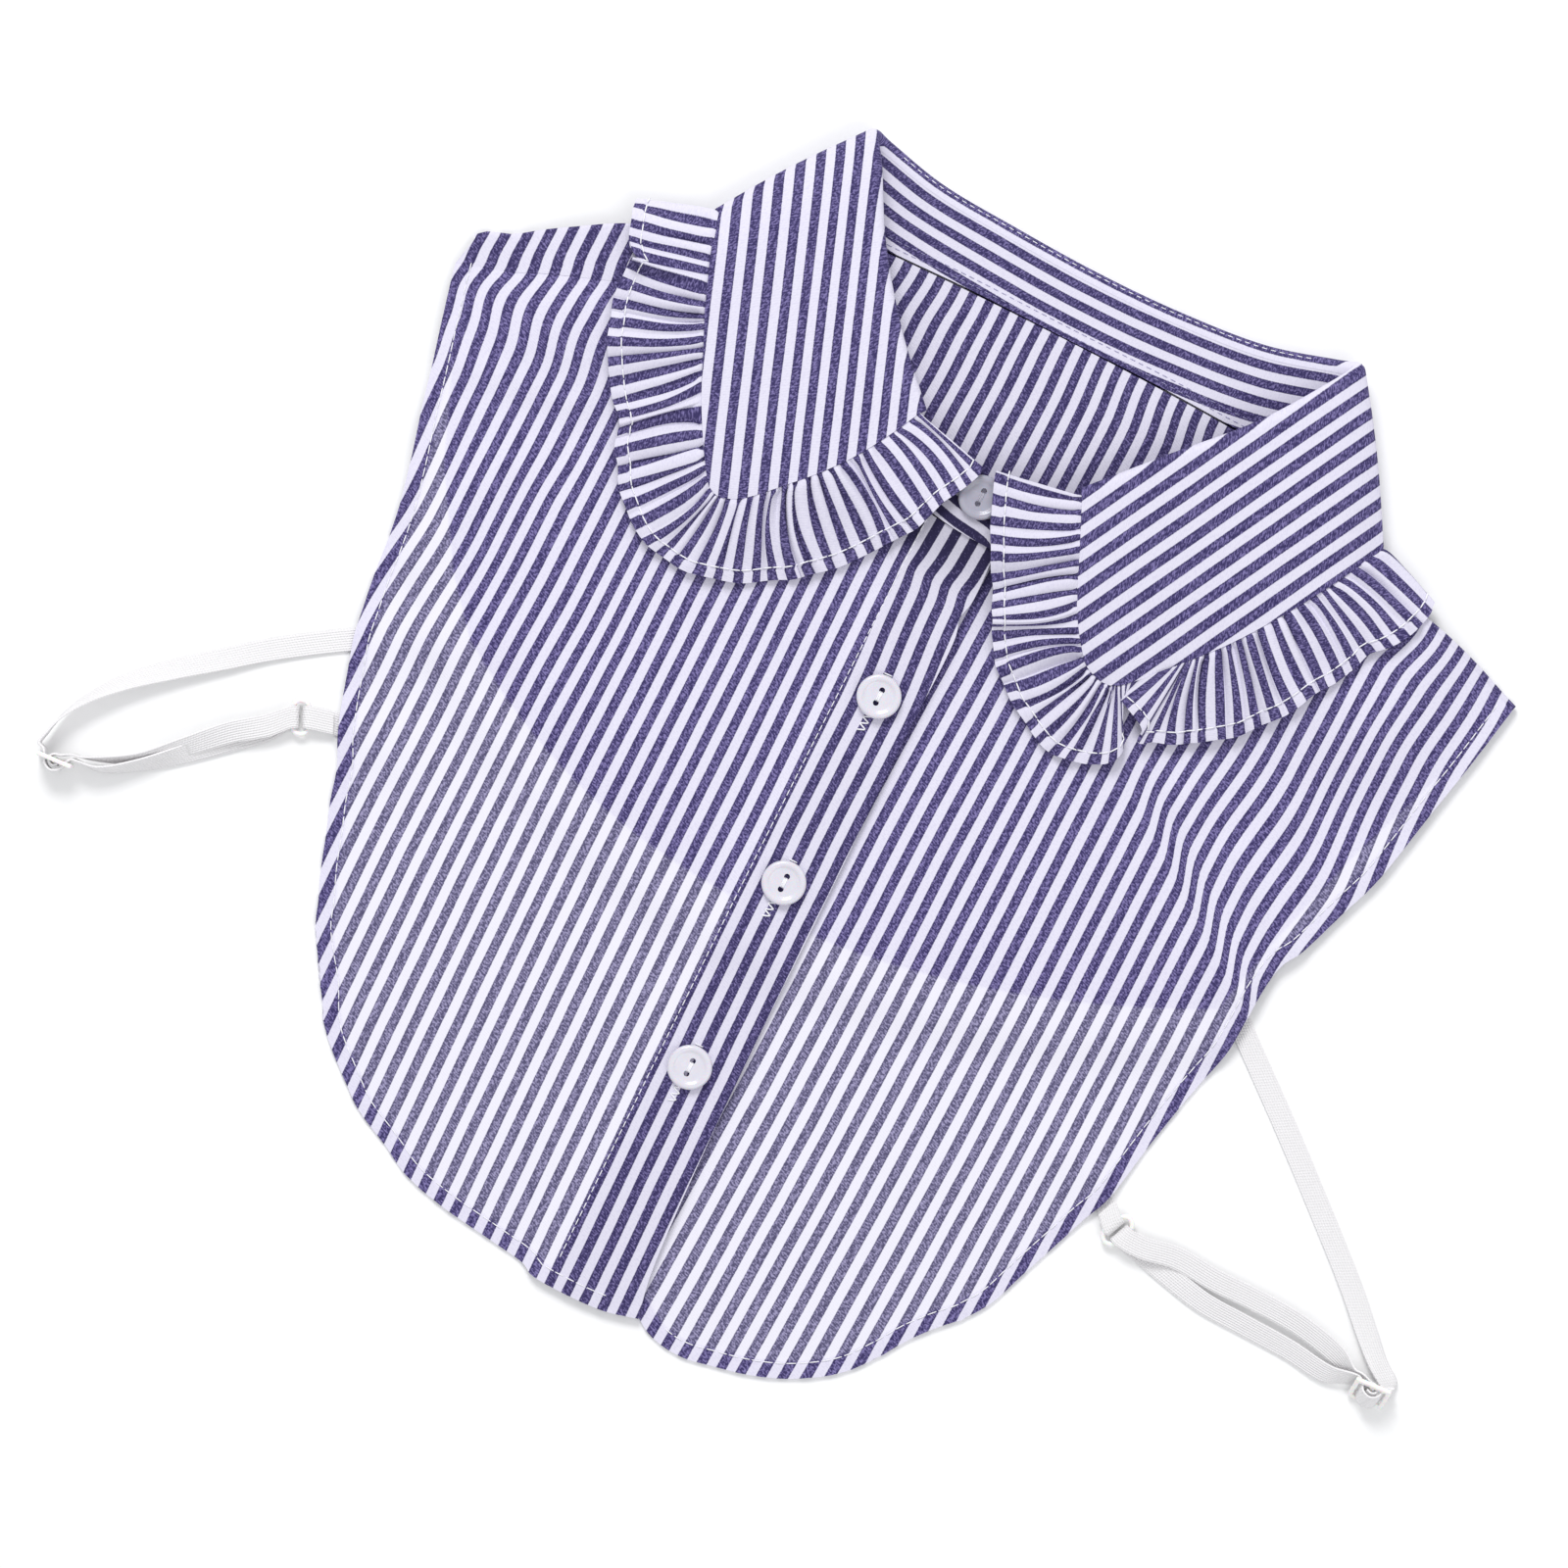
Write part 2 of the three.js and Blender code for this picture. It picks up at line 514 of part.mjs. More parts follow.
// A shirt button: a raised rim round a shallow dish with two holes, its lower face at z 0.
function button() {
  const { radius, thick, rim, hole, holeApart } = BUTTON;
  const [rimSegments, holeSegments] = [16, 8];
  const profile = [
    [0, 0], [radius - rim, 0], [radius, rim], [radius, thick - rim], [radius - rim, thick],
    [radius - 3 * rim, thick], [radius - 5 * rim, thick - rim], [0, thick - rim],
  ].map(([r, z]) => new THREE.Vector2(r, z));
  const disc = new THREE.LatheGeometry(profile, rimSegments).rotateX(Math.PI / 2);
  let solid = solidOf(disc);
  for (const y of [-holeApart / 2, holeApart / 2]) {
    const drill = new THREE.CylinderGeometry(hole, hole, 4 * thick, holeSegments);
    solid = solid.subtract(solidOf(drill.rotateX(Math.PI / 2).translate(0, y, 0)));
  }
  return geometryOf(solid);
}

// The elastics. Each goes from under the front to its slider, over the slider's middle bar, on to
// the ring, and back to the bar that it is sewn round. A point's tilt is how far the band has
// turned up on its edge there, and its lift is how far that edge is off the surface.
const LEFT_STRAP = {
  side: 1,
  upper: table("x y lift tilt", [
    [-106.5, 18.4, 0, 0], [-118, 12.8, 0, 0], [-131.5, 5.5, 0, 0], [-150, -7, 0, 5], [-160, -15, 0, 14],
    [-170, -23, 0, 25], [-180, -32, 0, 45], [-187, -40.5, 0.5, 68], [-191, -48, 1.2, 84],
    [-192.4, -53.5, 1.7, 90],
  ]),
  slider: { x: -187.2, y: -58.8, lift: 0, turn: 4, tilt: 90 },
  out: table("x y lift tilt", [
    [-176, -55.8, 1, 80], [-167, -50.2, 0.2, 60], [-157, -41.5, 0, 35], [-148, -33, 0, 16],
    [-141, -26.5, 0, 2],
  ]),
  back: table("x y lift tilt", [
    [-141.3, -25.2, 2.6, 2], [-149.3, -31.4, 2, 16], [-158.3, -40.2, 1.2, 35], [-167.8, -48.6, 0.5, 60],
    [-177, -53.4, 1, 80],
  ]),
  ring: { x: -134.4, y: -19.2, turn: 115 },
  tab: table("x y lift", [[-114, -16.2, 0], [-126, -16.6, 0]]),
};
const RIGHT_STRAP = {
  side: -1,
  upper: table("x y lift tilt", [
    [120.7, 25.4, 0, 0], [128, 19.4, 0, 0], [150, 1.5, 0, 0], [170, -15.5, 0, 0], [184, -27.8, 0, 4],
    [193, -36.6, 0, 14], [199.5, -42.6, 0, 32], [204.6, -46.2, 0.5, 48],
  ]),
  slider: { x: 200, y: -50, lift: 0.7, turn: 184, tilt: 55 },
  out: table("x y lift tilt", [
    [188, -50.6, 0.6, 34], [176, -49.6, 0, 24], [162, -49.2, 0, 20], [150, -48.8, 0, 16],
    [138, -46.4, 0, 8], [129, -44.2, 0, 1],
  ]),
  back: table("x y lift tilt", [
    [129, -43, 2.6, 1], [138, -41.4, 1.6, 6], [150, -42, 1.2, 10], [162, -41.8, 1.2, 12],
    [176, -42.4, 1.6, 20], [188, -45, 2, 30],
  ]),
  ring: { x: 121, y: -42, turn: 67 },
  tab: table("x y lift", [[106, -30, 0], [115.8, -37.8, 0]]),
};
// The band's way through the slider, from its middle bar: first over the bar, then the sewn end.
const THREADED = table("u n", [
  [-5.5, 2.6], [-4, 1.8], [-2.95, 0.2], [-2.1, -1.75], [0, -2.85], [2.1, -1.75], [2.95, 0.2], [4, 1.8],
  [5.8, 2],
]);
const SEWN_END = table("u n", [
  [5.8, 3.3], [4, 3.1], [2.4, 2.5], [0.9, 1.75], [-0.4, 1.5], [-1.35, 0.7], [-1.35, -0.7], [-0.1, -1.5],
  [1.2, -0.95],
]);
// From the ring's wire to the middle of the band that turns round it.
const WRAP = RING.wire + 3 * CLEAR + ELASTIC.thick / 2;
const RING_HEIGHT = WRAP + ELASTIC.thick / 2 + CLEAR;

const level = (degrees) => new THREE.Vector3(Math.cos(degToRad(degrees)), Math.sin(degToRad(degrees)), 0);

// Stations of a stretch of band that lies on the surface: its middle and the way across it.
function stretch(rows, side) {
  const points = rows.map((row) => {
    const tilt = degToRad(row.tilt ?? 0);
    const edge = (ELASTIC.wide * Math.sin(tilt) + ELASTIC.thick * Math.cos(tilt)) / 2;
    return new THREE.Vector3(row.x, row.y, edge + CLEAR + row.lift);
  });
  const line = new THREE.CatmullRomCurve3(points, false, "centripetal");
  return rows.map((row, i) => {
    const tangent = line.getTangent(i / (rows.length - 1)).setZ(0).normalize();
    const inward = new THREE.Vector3(-tangent.y, tangent.x, 0).multiplyScalar(side);
    const tilt = degToRad(row.tilt ?? 0);
    const across = inward.multiplyScalar(Math.cos(tilt)).add(new THREE.Vector3(0, 0, Math.sin(tilt)));
    return { point: points[i], across };
  });
}

// The slider's own directions: along the band, across it, and out of its face towards the inside.
function sliderFrame({ slider, side }) {
  const along = level(slider.turn);
  const tilt = degToRad(slider.tilt);
  const across = new THREE.Vector3(-along.y, along.x, 0).multiplyScalar(side * Math.cos(tilt));
  across.z = Math.sin(tilt);
  const out = across.clone().cross(along).multiplyScalar(side);
  const half = SLIDER.slot / 2 + SLIDER.rail;
  const height = half * Math.sin(tilt) + (SLIDER.thick / 2) * Math.cos(tilt) + CLEAR + slider.lift;
  return { along, across, out, centre: new THREE.Vector3(slider.x, slider.y, height) };
}

// The ring's long way, and the way from it to the elastic.
function ringFrame({ ring, side }) {
  const across = level(ring.turn);
  const toStrap = new THREE.Vector3(-across.y, across.x, 0).multiplyScalar(side);
  return { across, toStrap, centre: new THREE.Vector3(ring.x, ring.y, RING_HEIGHT) };
}

// Stations of a band that turns back round one long side of the ring, from below it to above it.
function roundWire({ across, toStrap, centre }, away) {
  const turnSteps = 4;
  const wire = centre.clone().addScaledVector(toStrap, away * RING.bend);
  return steps(turnSteps).map((t) => {
    const turn = t * Math.PI;
    const point = wire.clone().addScaledVector(toStrap, -away * WRAP * Math.sin(turn));
    point.z -= WRAP * Math.cos(turn);
    return { point, across };
  });
}

// A band through its stations.
function band(stations) {
  const grid = stations.map(({ point, across }) =>
    [-0.5, 0.5].map((share) => point.clone().addScaledVector(across, share * ELASTIC.wide)));
  return thickSheet(grid, ELASTIC.thick);
}

function elastic(strap) {
  const { along, across, out, centre } = sliderFrame(strap);
  const inSlider = (rows) => rows.map(({ u, n }) => ({
    point: centre.clone().addScaledVector(along, u).addScaledVector(out, n),
    across,
  }));
  return band([
    ...stretch(strap.upper, strap.side),
    ...inSlider(THREADED),
    ...stretch(strap.out, strap.side),
    ...roundWire(ringFrame(strap), 1),
    ...stretch(strap.back, -strap.side),
    ...inSlider(SEWN_END),
  ]);
}

// The tab holds the ring: its lower end is sewn under the front's hem and its upper end to the lower.
function tab(strap) {
  const frame = ringFrame(strap);
  const across = frame.across.clone();
  const under = stretch(strap.tab, strap.side).map(({ point }) => ({ point, across }));
  const upper = { point: under.at(-1).point.clone().setZ(2 * ELASTIC.thick + 5 * CLEAR), across };
  return band([...under, ...roundWire(frame, -1), upper]);
}

function ring(strap) {
  const [segments, wireSegments] = [16, 6];
  const geometry = new THREE.TorusGeometry(RING.bend, RING.wire, wireSegments, segments);
  geometry.rotateZ(Math.PI / segments);
  const { position } = geometry.attributes;
  for (let i = 0; i < position.count; i++) {
    position.setX(i, position.getX(i) + Math.sign(position.getX(i)) * (RING.straight / 2));
  }
  const { centre } = ringFrame(strap);
  return geometry.rotateZ(degToRad(strap.ring.turn)).translate(...centre);
}

// A slider: a plate with two slots, which leave its three bars.
function slider(strap) {
  const { bar, pitch, slot, rail, thick } = SLIDER;
  let plate = solidOf(new THREE.BoxGeometry(2 * pitch + bar, slot + 2 * rail, thick));
  for (const x of [-pitch / 2, pitch / 2]) {
    const opening = new THREE.BoxGeometry(pitch - bar, slot, 2 * thick).translate(x, 0, 0);
    plate = plate.subtract(solidOf(opening));
  }
  const { along, across, centre } = sliderFrame(strap);
  const basis = new THREE.Matrix4().makeBasis(along, across, along.clone().cross(across));
  return geometryOf(plate).applyMatrix4(basis.setPosition(centre));
}

const group = new THREE.Group();

function add(name, geometry, material, z = 0) {
  const mesh = new THREE.Mesh(geometry, material);
  mesh.name = name;
  mesh.position.z = z;
  group.add(mesh);
  return mesh;
}

const back = backPanel();
const over = halfFront(OVER_CENTRE, OVER_HEM, OVER_SIDE, LEFT_SEAM, topHeight);
const under = halfFront(UNDER_CENTRE, UNDER_HEM, UNDER_SIDE, RIGHT_SEAM, frontHeight);
add("back_panel", thickSheet(back.grid, CLOTH, back.present), cloth);
add("front_over", thickSheet(over, CLOTH), cloth);
add("front_under", thickSheet(under, CLOTH), cloth);
add("collar_stand", collarStand(), cloth);
add("collar_leaf", collarLeaf(), cloth);
add("collar_frill", frill(), cloth);

BUTTON_ROWS.forEach((y, i) => {
  const height = topHeight(0, y + BUTTON.radius) + CLOTH / 2 + 3 * CLEAR;
  add("button_" + (i + 2), button(), pearl, height).position.y = y;
});
add("button_1", button(), pearl, TOP_BUTTON.z).position.y = TOP_BUTTON.y;

for (const [name, strap] of Object.entries({ left: LEFT_STRAP, right: RIGHT_STRAP })) {
  add("elastic_" + name, elastic(strap), webbing);
  add("tab_" + name, tab(strap), webbing);
  add("ring_" + name, ring(strap), plastic);
  add("slider_" + name, slider(strap), plastic);
}

export default group;
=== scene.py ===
import math
import random

import bpy
import numpy as np
from mathutils import Matrix, Vector, noise


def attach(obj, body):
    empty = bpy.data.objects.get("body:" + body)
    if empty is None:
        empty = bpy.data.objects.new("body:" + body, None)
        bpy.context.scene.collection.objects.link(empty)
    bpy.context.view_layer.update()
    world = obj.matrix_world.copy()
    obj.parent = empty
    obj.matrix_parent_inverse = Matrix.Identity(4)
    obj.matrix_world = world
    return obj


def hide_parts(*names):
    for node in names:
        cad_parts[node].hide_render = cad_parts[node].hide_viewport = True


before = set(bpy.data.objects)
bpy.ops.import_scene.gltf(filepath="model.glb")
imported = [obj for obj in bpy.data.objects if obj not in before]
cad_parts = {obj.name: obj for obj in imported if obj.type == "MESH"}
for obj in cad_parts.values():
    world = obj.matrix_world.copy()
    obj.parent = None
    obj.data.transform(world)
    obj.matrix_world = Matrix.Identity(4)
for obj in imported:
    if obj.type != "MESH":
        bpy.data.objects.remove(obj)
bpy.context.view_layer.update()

# The place that the garment is laid on: a pale floor under soft, even light, seen from straight
# above with the garment turned clockwise. Lengths in tables are millimetres on the garment, with x
# across it, y towards the neck and z up, and the middle button at the origin.
MM = 0.001
VIEW_TURN = math.radians(27.04)
VIEW_WIDTH = 416 * MM
VIEW_CENTRE = (-11.9 * MM, 23.4 * MM)
LENS_MM = 180
SENSOR_MM = 36
CLOTH_TOP = 6 * MM
FLOOR_SIZE = 6.0
FLOOR_DROP = 0.0002
LIGHTS_AIM = Vector((0, 0.03, 0))

camera_data = bpy.data.cameras.new("camera")
camera_data.lens = LENS_MM
camera_data.sensor_width = SENSOR_MM
camera = bpy.data.objects.new("camera", camera_data)
camera.location = (*VIEW_CENTRE, CLOTH_TOP + VIEW_WIDTH * LENS_MM / SENSOR_MM)
camera.rotation_euler = (0, 0, VIEW_TURN)
bpy.context.scene.collection.objects.link(camera)
bpy.context.scene.camera = camera
bpy.context.scene.view_settings.view_transform = "Standard"


def soft_light(name, place, size, power):
    data = bpy.data.lights.new(name, "AREA")
    data.shape = "DISK"
    data.size = size
    data.energy = power
    light = bpy.data.objects.new(name, data)
    light.location = place
    light.rotation_euler = (LIGHTS_AIM - Vector(place)).to_track_quat("-Z", "Y").to_euler()
    bpy.context.scene.collection.objects.link(light)


soft_light("key_light", (-0.9, 1.2, 1.5), 0.9, 24)
soft_light("fill_light", (1.2, -0.6, 1.8), 1.6, 10)
world = bpy.data.worlds.new("studio")
world.use_nodes = True
world.node_tree.nodes["Background"].inputs["Color"].default_value = (0.97, 0.98, 1.0, 1)
world.node_tree.nodes["Background"].inputs["Strength"].default_value = 0.65
bpy.context.scene.world = world


def plain_material(name, colour, roughness):
    material = bpy.data.materials.new(name)
    material.use_nodes = True
    shader = material.node_tree.nodes["Principled BSDF"]
    shader.inputs["Base Color"].default_value = (*colour, 1)
    shader.inputs["Roughness"].default_value = roughness
    return material, shader


floor_mesh = bpy.data.meshes.new("floor")
half = FLOOR_SIZE / 2
floor_corners = [(-half, -half, 0), (half, -half, 0), (half, half, 0), (-half, half, 0)]
floor_mesh.from_pydata(floor_corners, [], [(0, 1, 2, 3)])
floor = bpy.data.objects.new("floor", floor_mesh)
floor.location.z = -FLOOR_DROP
floor_mesh.materials.append(plain_material("pale_floor", (0.96, 0.96, 0.96), 0.9)[0])
bpy.context.scene.collection.objects.link(floor)

# The back: a short panel of yarn-dyed striped cotton shirting, cut with the stripes upright. It
# lies face down under the fronts, hemmed along its curved lower edge, and turns over the
# shoulders, on the left as far as a seam a thumb's width down the front.
CLOTH = 0.45  # thickness of the shirting
HEM_EXTRA = 0.4  # what a turned hem adds to it
LAYER = 1.7  # from the middle of one cloth to the middle of the next
STRIPE_PERIOD = 5.2
BLUE_WIDTH = 2.65
TWILL_RIB = 0.62
SEAM_PULL = 0.9  # how far the left shoulder seam has drawn the stripes aside
NECK_LOW = 104
NECK_SIDE = (84, 158)
BACK_NECK = 162.4
BACK_HEM_LOW = -9.5
BACK_CORNERS = {-1: (-104, 20, 2.4), 1: (118, 22.5, 1.9)}
BACK_SIDES = {
    -1: [(-104, 20), (-116, 34), (-131, 58), (-140, 80), (-147, 100), (-151, 117.5)],
    1: [(118, 22.5), (123, 45), (131, 73), (141, 101), (152, 130)],
}
SHOULDERS = {
    -1: [(-84, 157), (-95, 147.5), (-105, 141.5), (-115, 137.5), (-120, 135), (-126.7, 130.9),
         (-135, 125.8), (-143, 120.4), (-148.5, 118.5), (-151.5, 116)],
    1: [(84, 157), (95, 147.5), (106, 141.8), (117, 140.6), (125, 139), (133, 136.8), (140, 134.5),
        (147, 131.8), (152, 130)],
}
SEAMS = {
    -1: [(-71, 140), (-90, 131.8), (-112, 122), (-122, 118.2), (-131, 114.8), (-138, 111.6),
         (-152.6, 107)],
    1: [(81.5, 154.5), (94, 146), (105.5, 140.2), (117, 139.1), (125, 137.5), (133, 135.3),
        (140, 133), (147, 130.3), (151.6, 128.6)],
}


def ease(low, high, value):
    share = np.clip((np.asarray(value, float) - low) / (high - low), 0, 1)
    return share * share * (3 - 2 * share)


class SmoothLine:
    """A smooth line through a table's rows, read by its rows or by the share of its length."""

    def __init__(self, rows):
        points = np.array(rows, float)
        gaps = np.sqrt(np.linalg.norm(np.diff(points[:, :2], axis=0), axis=1))
        slopes = np.diff(points, axis=0) / gaps[:, None]
        tangents = np.empty_like(points)
        before, after = gaps[:-1, None], gaps[1:, None]
        tangents[1:-1] = (slopes[:-1] * after + slopes[1:] * before) / (after + before)
        tangents[0] = slopes[0]
        tangents[-1] = slopes[-1]
        fine = 24
        pieces = []
        for i, gap in enumerate(gaps):
            t = np.linspace(0, 1, fine, endpoint=False)[:, None]
            ends = points[i] * (1 - t) ** 2 * (1 + 2 * t) + points[i + 1] * t ** 2 * (3 - 2 * t)
            bends = tangents[i] * t * (1 - t) ** 2 - tangents[i + 1] * t ** 2 * (1 - t)
            pieces.append(ends + gap * bends)
        self.points = np.vstack(pieces + [points[-1:]])
        self.by_row = np.linspace(0, 1, len(self.points))
        lengths = np.linalg.norm(np.diff(self.points[:, :min(3, points.shape[1])], axis=0), axis=1)
        self.distance = np.concatenate([[0], np.cumsum(lengths)])
        self.length = self.distance[-1]

    def row(self, share):
        return np.stack([np.interp(share, self.by_row, column) for column in self.points.T], -1)

    def at(self, share):
        place = np.asarray(share) * self.length
        return np.stack([np.interp(place, self.distance, column) for column in self.points.T], -1)


def patch(bottom, top, left, right, across, up):
    """Points between four edges, each an array of points, at these shares of the way."""
    s, t = across[:, None, None], up[None, :, None]
    return (bottom[:, None] * (1 - t) + top[:, None] * t + left[None] * (1 - s) + right[None] * s
            - bottom[0] * (1 - s) * (1 - t) - bottom[-1] * s * (1 - t)
            - top[0] * (1 - s) * t - top[-1] * s * t)


def neckline(x):
    return NECK_LOW + (NECK_SIDE[1] - NECK_LOW) * (x / NECK_SIDE[0]) ** 2


def back_hem(x):
    on_left = np.asarray(x) < 0
    corner_x, corner_y, power = (np.where(on_left, left, right)
                                 for left, right in zip(BACK_CORNERS[-1], BACK_CORNERS[1]))
    return BACK_HEM_LOW + (corner_y - BACK_HEM_LOW) * np.abs(x / corner_x) ** power


def back_side(x, y):
    left, right = (np.interp(y, *np.array(BACK_SIDES[k], float).T[::-1]) for k in (-1, 1))
    return np.abs(np.where(np.asarray(x) < 0, left, right))


def over_back_distance(x, y):
    """How far inside the back's outline a point lies, negative outside it."""
    return np.minimum(y - back_hem(x), back_side(x, y) - np.abs(x))


def back_height(x, y):
    return 0.45 + 4.5 * ease(80, 113, y) * (1 - ease(120, 148, np.abs(x)))


# the soft folds that the fronts lie in: from x y, to x y, how wide, how high
FOLDS = [
    (84, 68, 121, 30, 5, 1.6), (104, 62, 128, 44, 4, 1.0), (96, 100, 112, 78, 6, 0.7),
    (-138, 84, -106, 88, 4, 0.6), (-116, 66, -128, 30, 5, 0.7), (-98, 22, -136, 4, 9, 1.1),
    (112, 31, 130, 18, 9, 1.1), (-112, -16, -130, -16, 9, 1.2), (104, -29, 119, -39, 9, 1.2),
]


def fold_height(x, y):
    total = np.zeros(np.broadcast(x, y).shape)
    for from_x, from_y, to_x, to_y, wide, high in FOLDS:
        dx, dy = to_x - from_x, to_y - from_y
        along = np.clip(((x - from_x) * dx + (y - from_y) * dy) / (dx * dx + dy * dy), 0, 1)
        away = (x - from_x - along * dx) ** 2 + (y - from_y - along * dy) ** 2
        total += high * np.exp(-away / wide ** 2)
    return total


def front_height(x, y):
    over_back = ease(back_hem(x) - 22, back_hem(x) - 8, y) * (1 - ease(8, 20, np.abs(x) - back_side(x, y)))
    loft = 4 * ease(45, 110, y) * (1 - ease(45, 100, np.abs(x)))
    return back_height(x, y) + LAYER * over_back + loft + fold_height(x, y)


def swell(centre, reach, value):
    return np.exp(-((value - centre) / reach) ** 2)


def above_left_seam(x, y):
    return y - np.interp(x, *np.array(sorted(SEAMS[-1])).T)


def left_stripes(x, y):
    """Across the left front's stripes: its cloth has been pulled a little aside where it was laid."""
    low = 2.7 * (np.maximum(-y, 0) / 115) ** 1.35
    high = -1.5 * ease(5, 95, y) * (1 - ease(-15, -60, x))
    side = 1.3 * ease(-62, -80, x) + 1.6 * ease(-98, -122, x) + 1.4 * ease(-120, -136, x) * swell(50, 18, y)
    side = side * ease(10, 45, y) * (1 - ease(92, 108, y))
    shoulder = 0.7 * ease(100, 112, y) * ease(-100, -115, x)
    shoulder = shoulder + 0.9 * ease(-66, -100, x) * swell(0, 26, y)
    under_frill = swell(-102, 7, x) * ease(60, 76, y) - 1.5 * ease(-122, -142, x) * ease(80, 94, y)
    shoulder = shoulder + under_frill * (1 - ease(100, 122, y))
    return (x + 15 - low - high - side - shoulder) * 1.002


def right_stripes(x, y):
    """The same for the right front, which has a soft fold from under the collar to its side."""
    low = -2.6 * (np.maximum(-y, 0) / 115) ** 1.8
    high = 1.8 * ease(15, 100, y) * (1 - ease(20, 70, x))
    past = (x - 83) * 0.584 + (y - 62.5) * 0.812
    down = (x - 83) * 0.812 - (y - 62.5) * 0.584
    fold = 3.3 * ease(-24, 12, down) + 1.2 * ease(36, 56, down)
    fold = fold * ease(-7, 1.5, past) * (1 - ease(6, 34, past))
    side = 2 * ease(108, 130, x) * ease(60, 95, y) * (1 - ease(104, 126, y))
    shoulder = 4.2 * ease(122, 137, y) * (1 - ease(112, 150, x))
    slack = 0.4 * ease(60, 72, x) * (1 - ease(94, 104, x))
    return x - 15.5 - low - high + fold + side - shoulder - slack


def ripple(x, y, scale, seed):
    """Slow, uneven rises of a cloth that has been laid by hand."""
    flat = [noise.noise(Vector((a / scale, b / scale, seed))) for a, b in zip(np.ravel(x), np.ravel(y))]
    return np.reshape(flat, np.shape(x))


def cloth_mesh(name, grid, pattern, thickness, present=None, masks=None):
    """A closed sheet from points down its middle, with its place in the cloth's pattern as UVs."""
    grid = np.asarray(grid, float)
    columns, rows = grid.shape[:2]
    filled = np.nan_to_num(grid)
    east = np.concatenate([grid[1:], grid[-1:]])
    west = np.concatenate([grid[:1], grid[:-1]])
    north = np.concatenate([grid[:, 1:], grid[:, -1:]], 1)
    south = np.concatenate([grid[:, :1], grid[:, :-1]], 1)
    east, west, north, south = (np.where(np.isnan(a), filled, a) for a in (east, west, north, south))
    normal = np.cross(east - west, north - south)
    normal /= np.maximum(np.linalg.norm(normal, axis=-1, keepdims=True), 1e-9)
    half_wall = np.broadcast_to(np.asarray(thickness, float) / 2, (columns, rows))[..., None]
    points = np.stack([filled + normal * half_wall, filled - normal * half_wall], 2)
    points = points.reshape(-1, 3) * MM
    index = np.arange(columns * rows * 2).reshape(columns, rows, 2)
    cells = np.ones((columns - 1, rows - 1), bool) if present is None else present
    i, j = np.nonzero(cells)
    corners = [(i, j), (i + 1, j), (i + 1, j + 1), (i, j + 1)]
    faces = [np.stack([index[a, b, 0] for a, b in corners], 1),
             np.stack([index[a, b, 1] for a, b in corners[::-1]], 1)]
    padded = np.pad(cells, 1)
    for k, (step_i, step_j) in enumerate([(0, -1), (1, 0), (0, 1), (-1, 0)]):
        edge = ~padded[i + 1 + step_i, j + 1 + step_j]
        (a, b), (c, d) = [(p[edge], q[edge]) for p, q in (corners[k], corners[(k + 1) % 4])]
        wall = [index[a, b, 0], index[a, b, 1], index[c, d, 1], index[c, d, 0]]
        faces.append(np.stack(wall, 1))
    faces = np.concatenate(faces)
    used, compact = np.unique(faces, return_inverse=True)
    faces = compact.reshape(faces.shape)
    mesh = bpy.data.meshes.new(name)
    mesh.from_pydata(points[used].tolist(), [], faces.tolist())
    uv = np.repeat(np.asarray(pattern, float).reshape(-1, 2), 2, 0)[used] * MM
    mesh.uv_layers.new(name="cloth").data.foreach_set("uv", uv[faces.ravel()].ravel())
    for mask, values in (masks or {}).items():
        spread = np.repeat(np.broadcast_to(values, (columns, rows)).ravel(), 2)[used]
        mesh.attributes.new(mask, "FLOAT", "POINT").data.foreach_set("value", spread.astype(np.float32))
    mesh.shade_smooth()
    mesh.set_sharp_from_angle(angle=math.radians(50))
    piece = bpy.data.objects.new(name, mesh)
    bpy.context.scene.collection.objects.link(piece)
    return piece


class Nodes:
    """Places and joins shader nodes in one tree."""

    def __init__(self, tree):
        self.tree = tree

    def feed(self, socket, value):
        if hasattr(value, "is_output"):
            self.tree.links.new(value, socket)
        else:
            socket.default_value = value

    def new(self, kind, settings=None, **inputs):
        node = self.tree.nodes.new("ShaderNode" + kind)
        for key, value in (settings or {}).items():
            setattr(node, key, value)
        for key, value in inputs.items():
            self.feed(node.inputs[key.replace("_", " ")], value)
        return node

    def math(self, operation, *values, clamp=False):
        node = self.tree.nodes.new("ShaderNodeMath")
        node.operation = operation
        node.use_clamp = clamp
        for socket, value in zip(node.inputs, values):
            self.feed(socket, value)
        return node.outputs[0]

    def ramp(self, value, low, high):
        """0 below low, 1 above high and smooth between them."""
        node = self.tree.nodes.new("ShaderNodeMapRange")
        node.interpolation_type = "SMOOTHSTEP"
        for socket, number in zip(node.inputs, (value, low, high, 0.0, 1.0)):
            self.feed(socket, number)
        return node.outputs[0]

    def mix(self, share, a, b):
        node = self.tree.nodes.new("ShaderNodeMix")
        node.data_type = "RGBA"
        for socket, value in ((node.inputs[0], share), (node.inputs[6], a), (node.inputs[7], b)):
            self.feed(socket, value)
        return node.outputs[2]

    def noise(self, vector, detail=2.0):
        node = self.new("TexNoise", Vector=vector, Scale=1.0, Detail=detail, Roughness=0.6)
        return node.outputs["Fac"]

    def join(self, x, y, z=0.0):
        node = self.tree.nodes.new("ShaderNodeCombineXYZ")
        for socket, value in zip(node.inputs, (x, y, z)):
            self.feed(socket, value)
        return node.outputs[0]


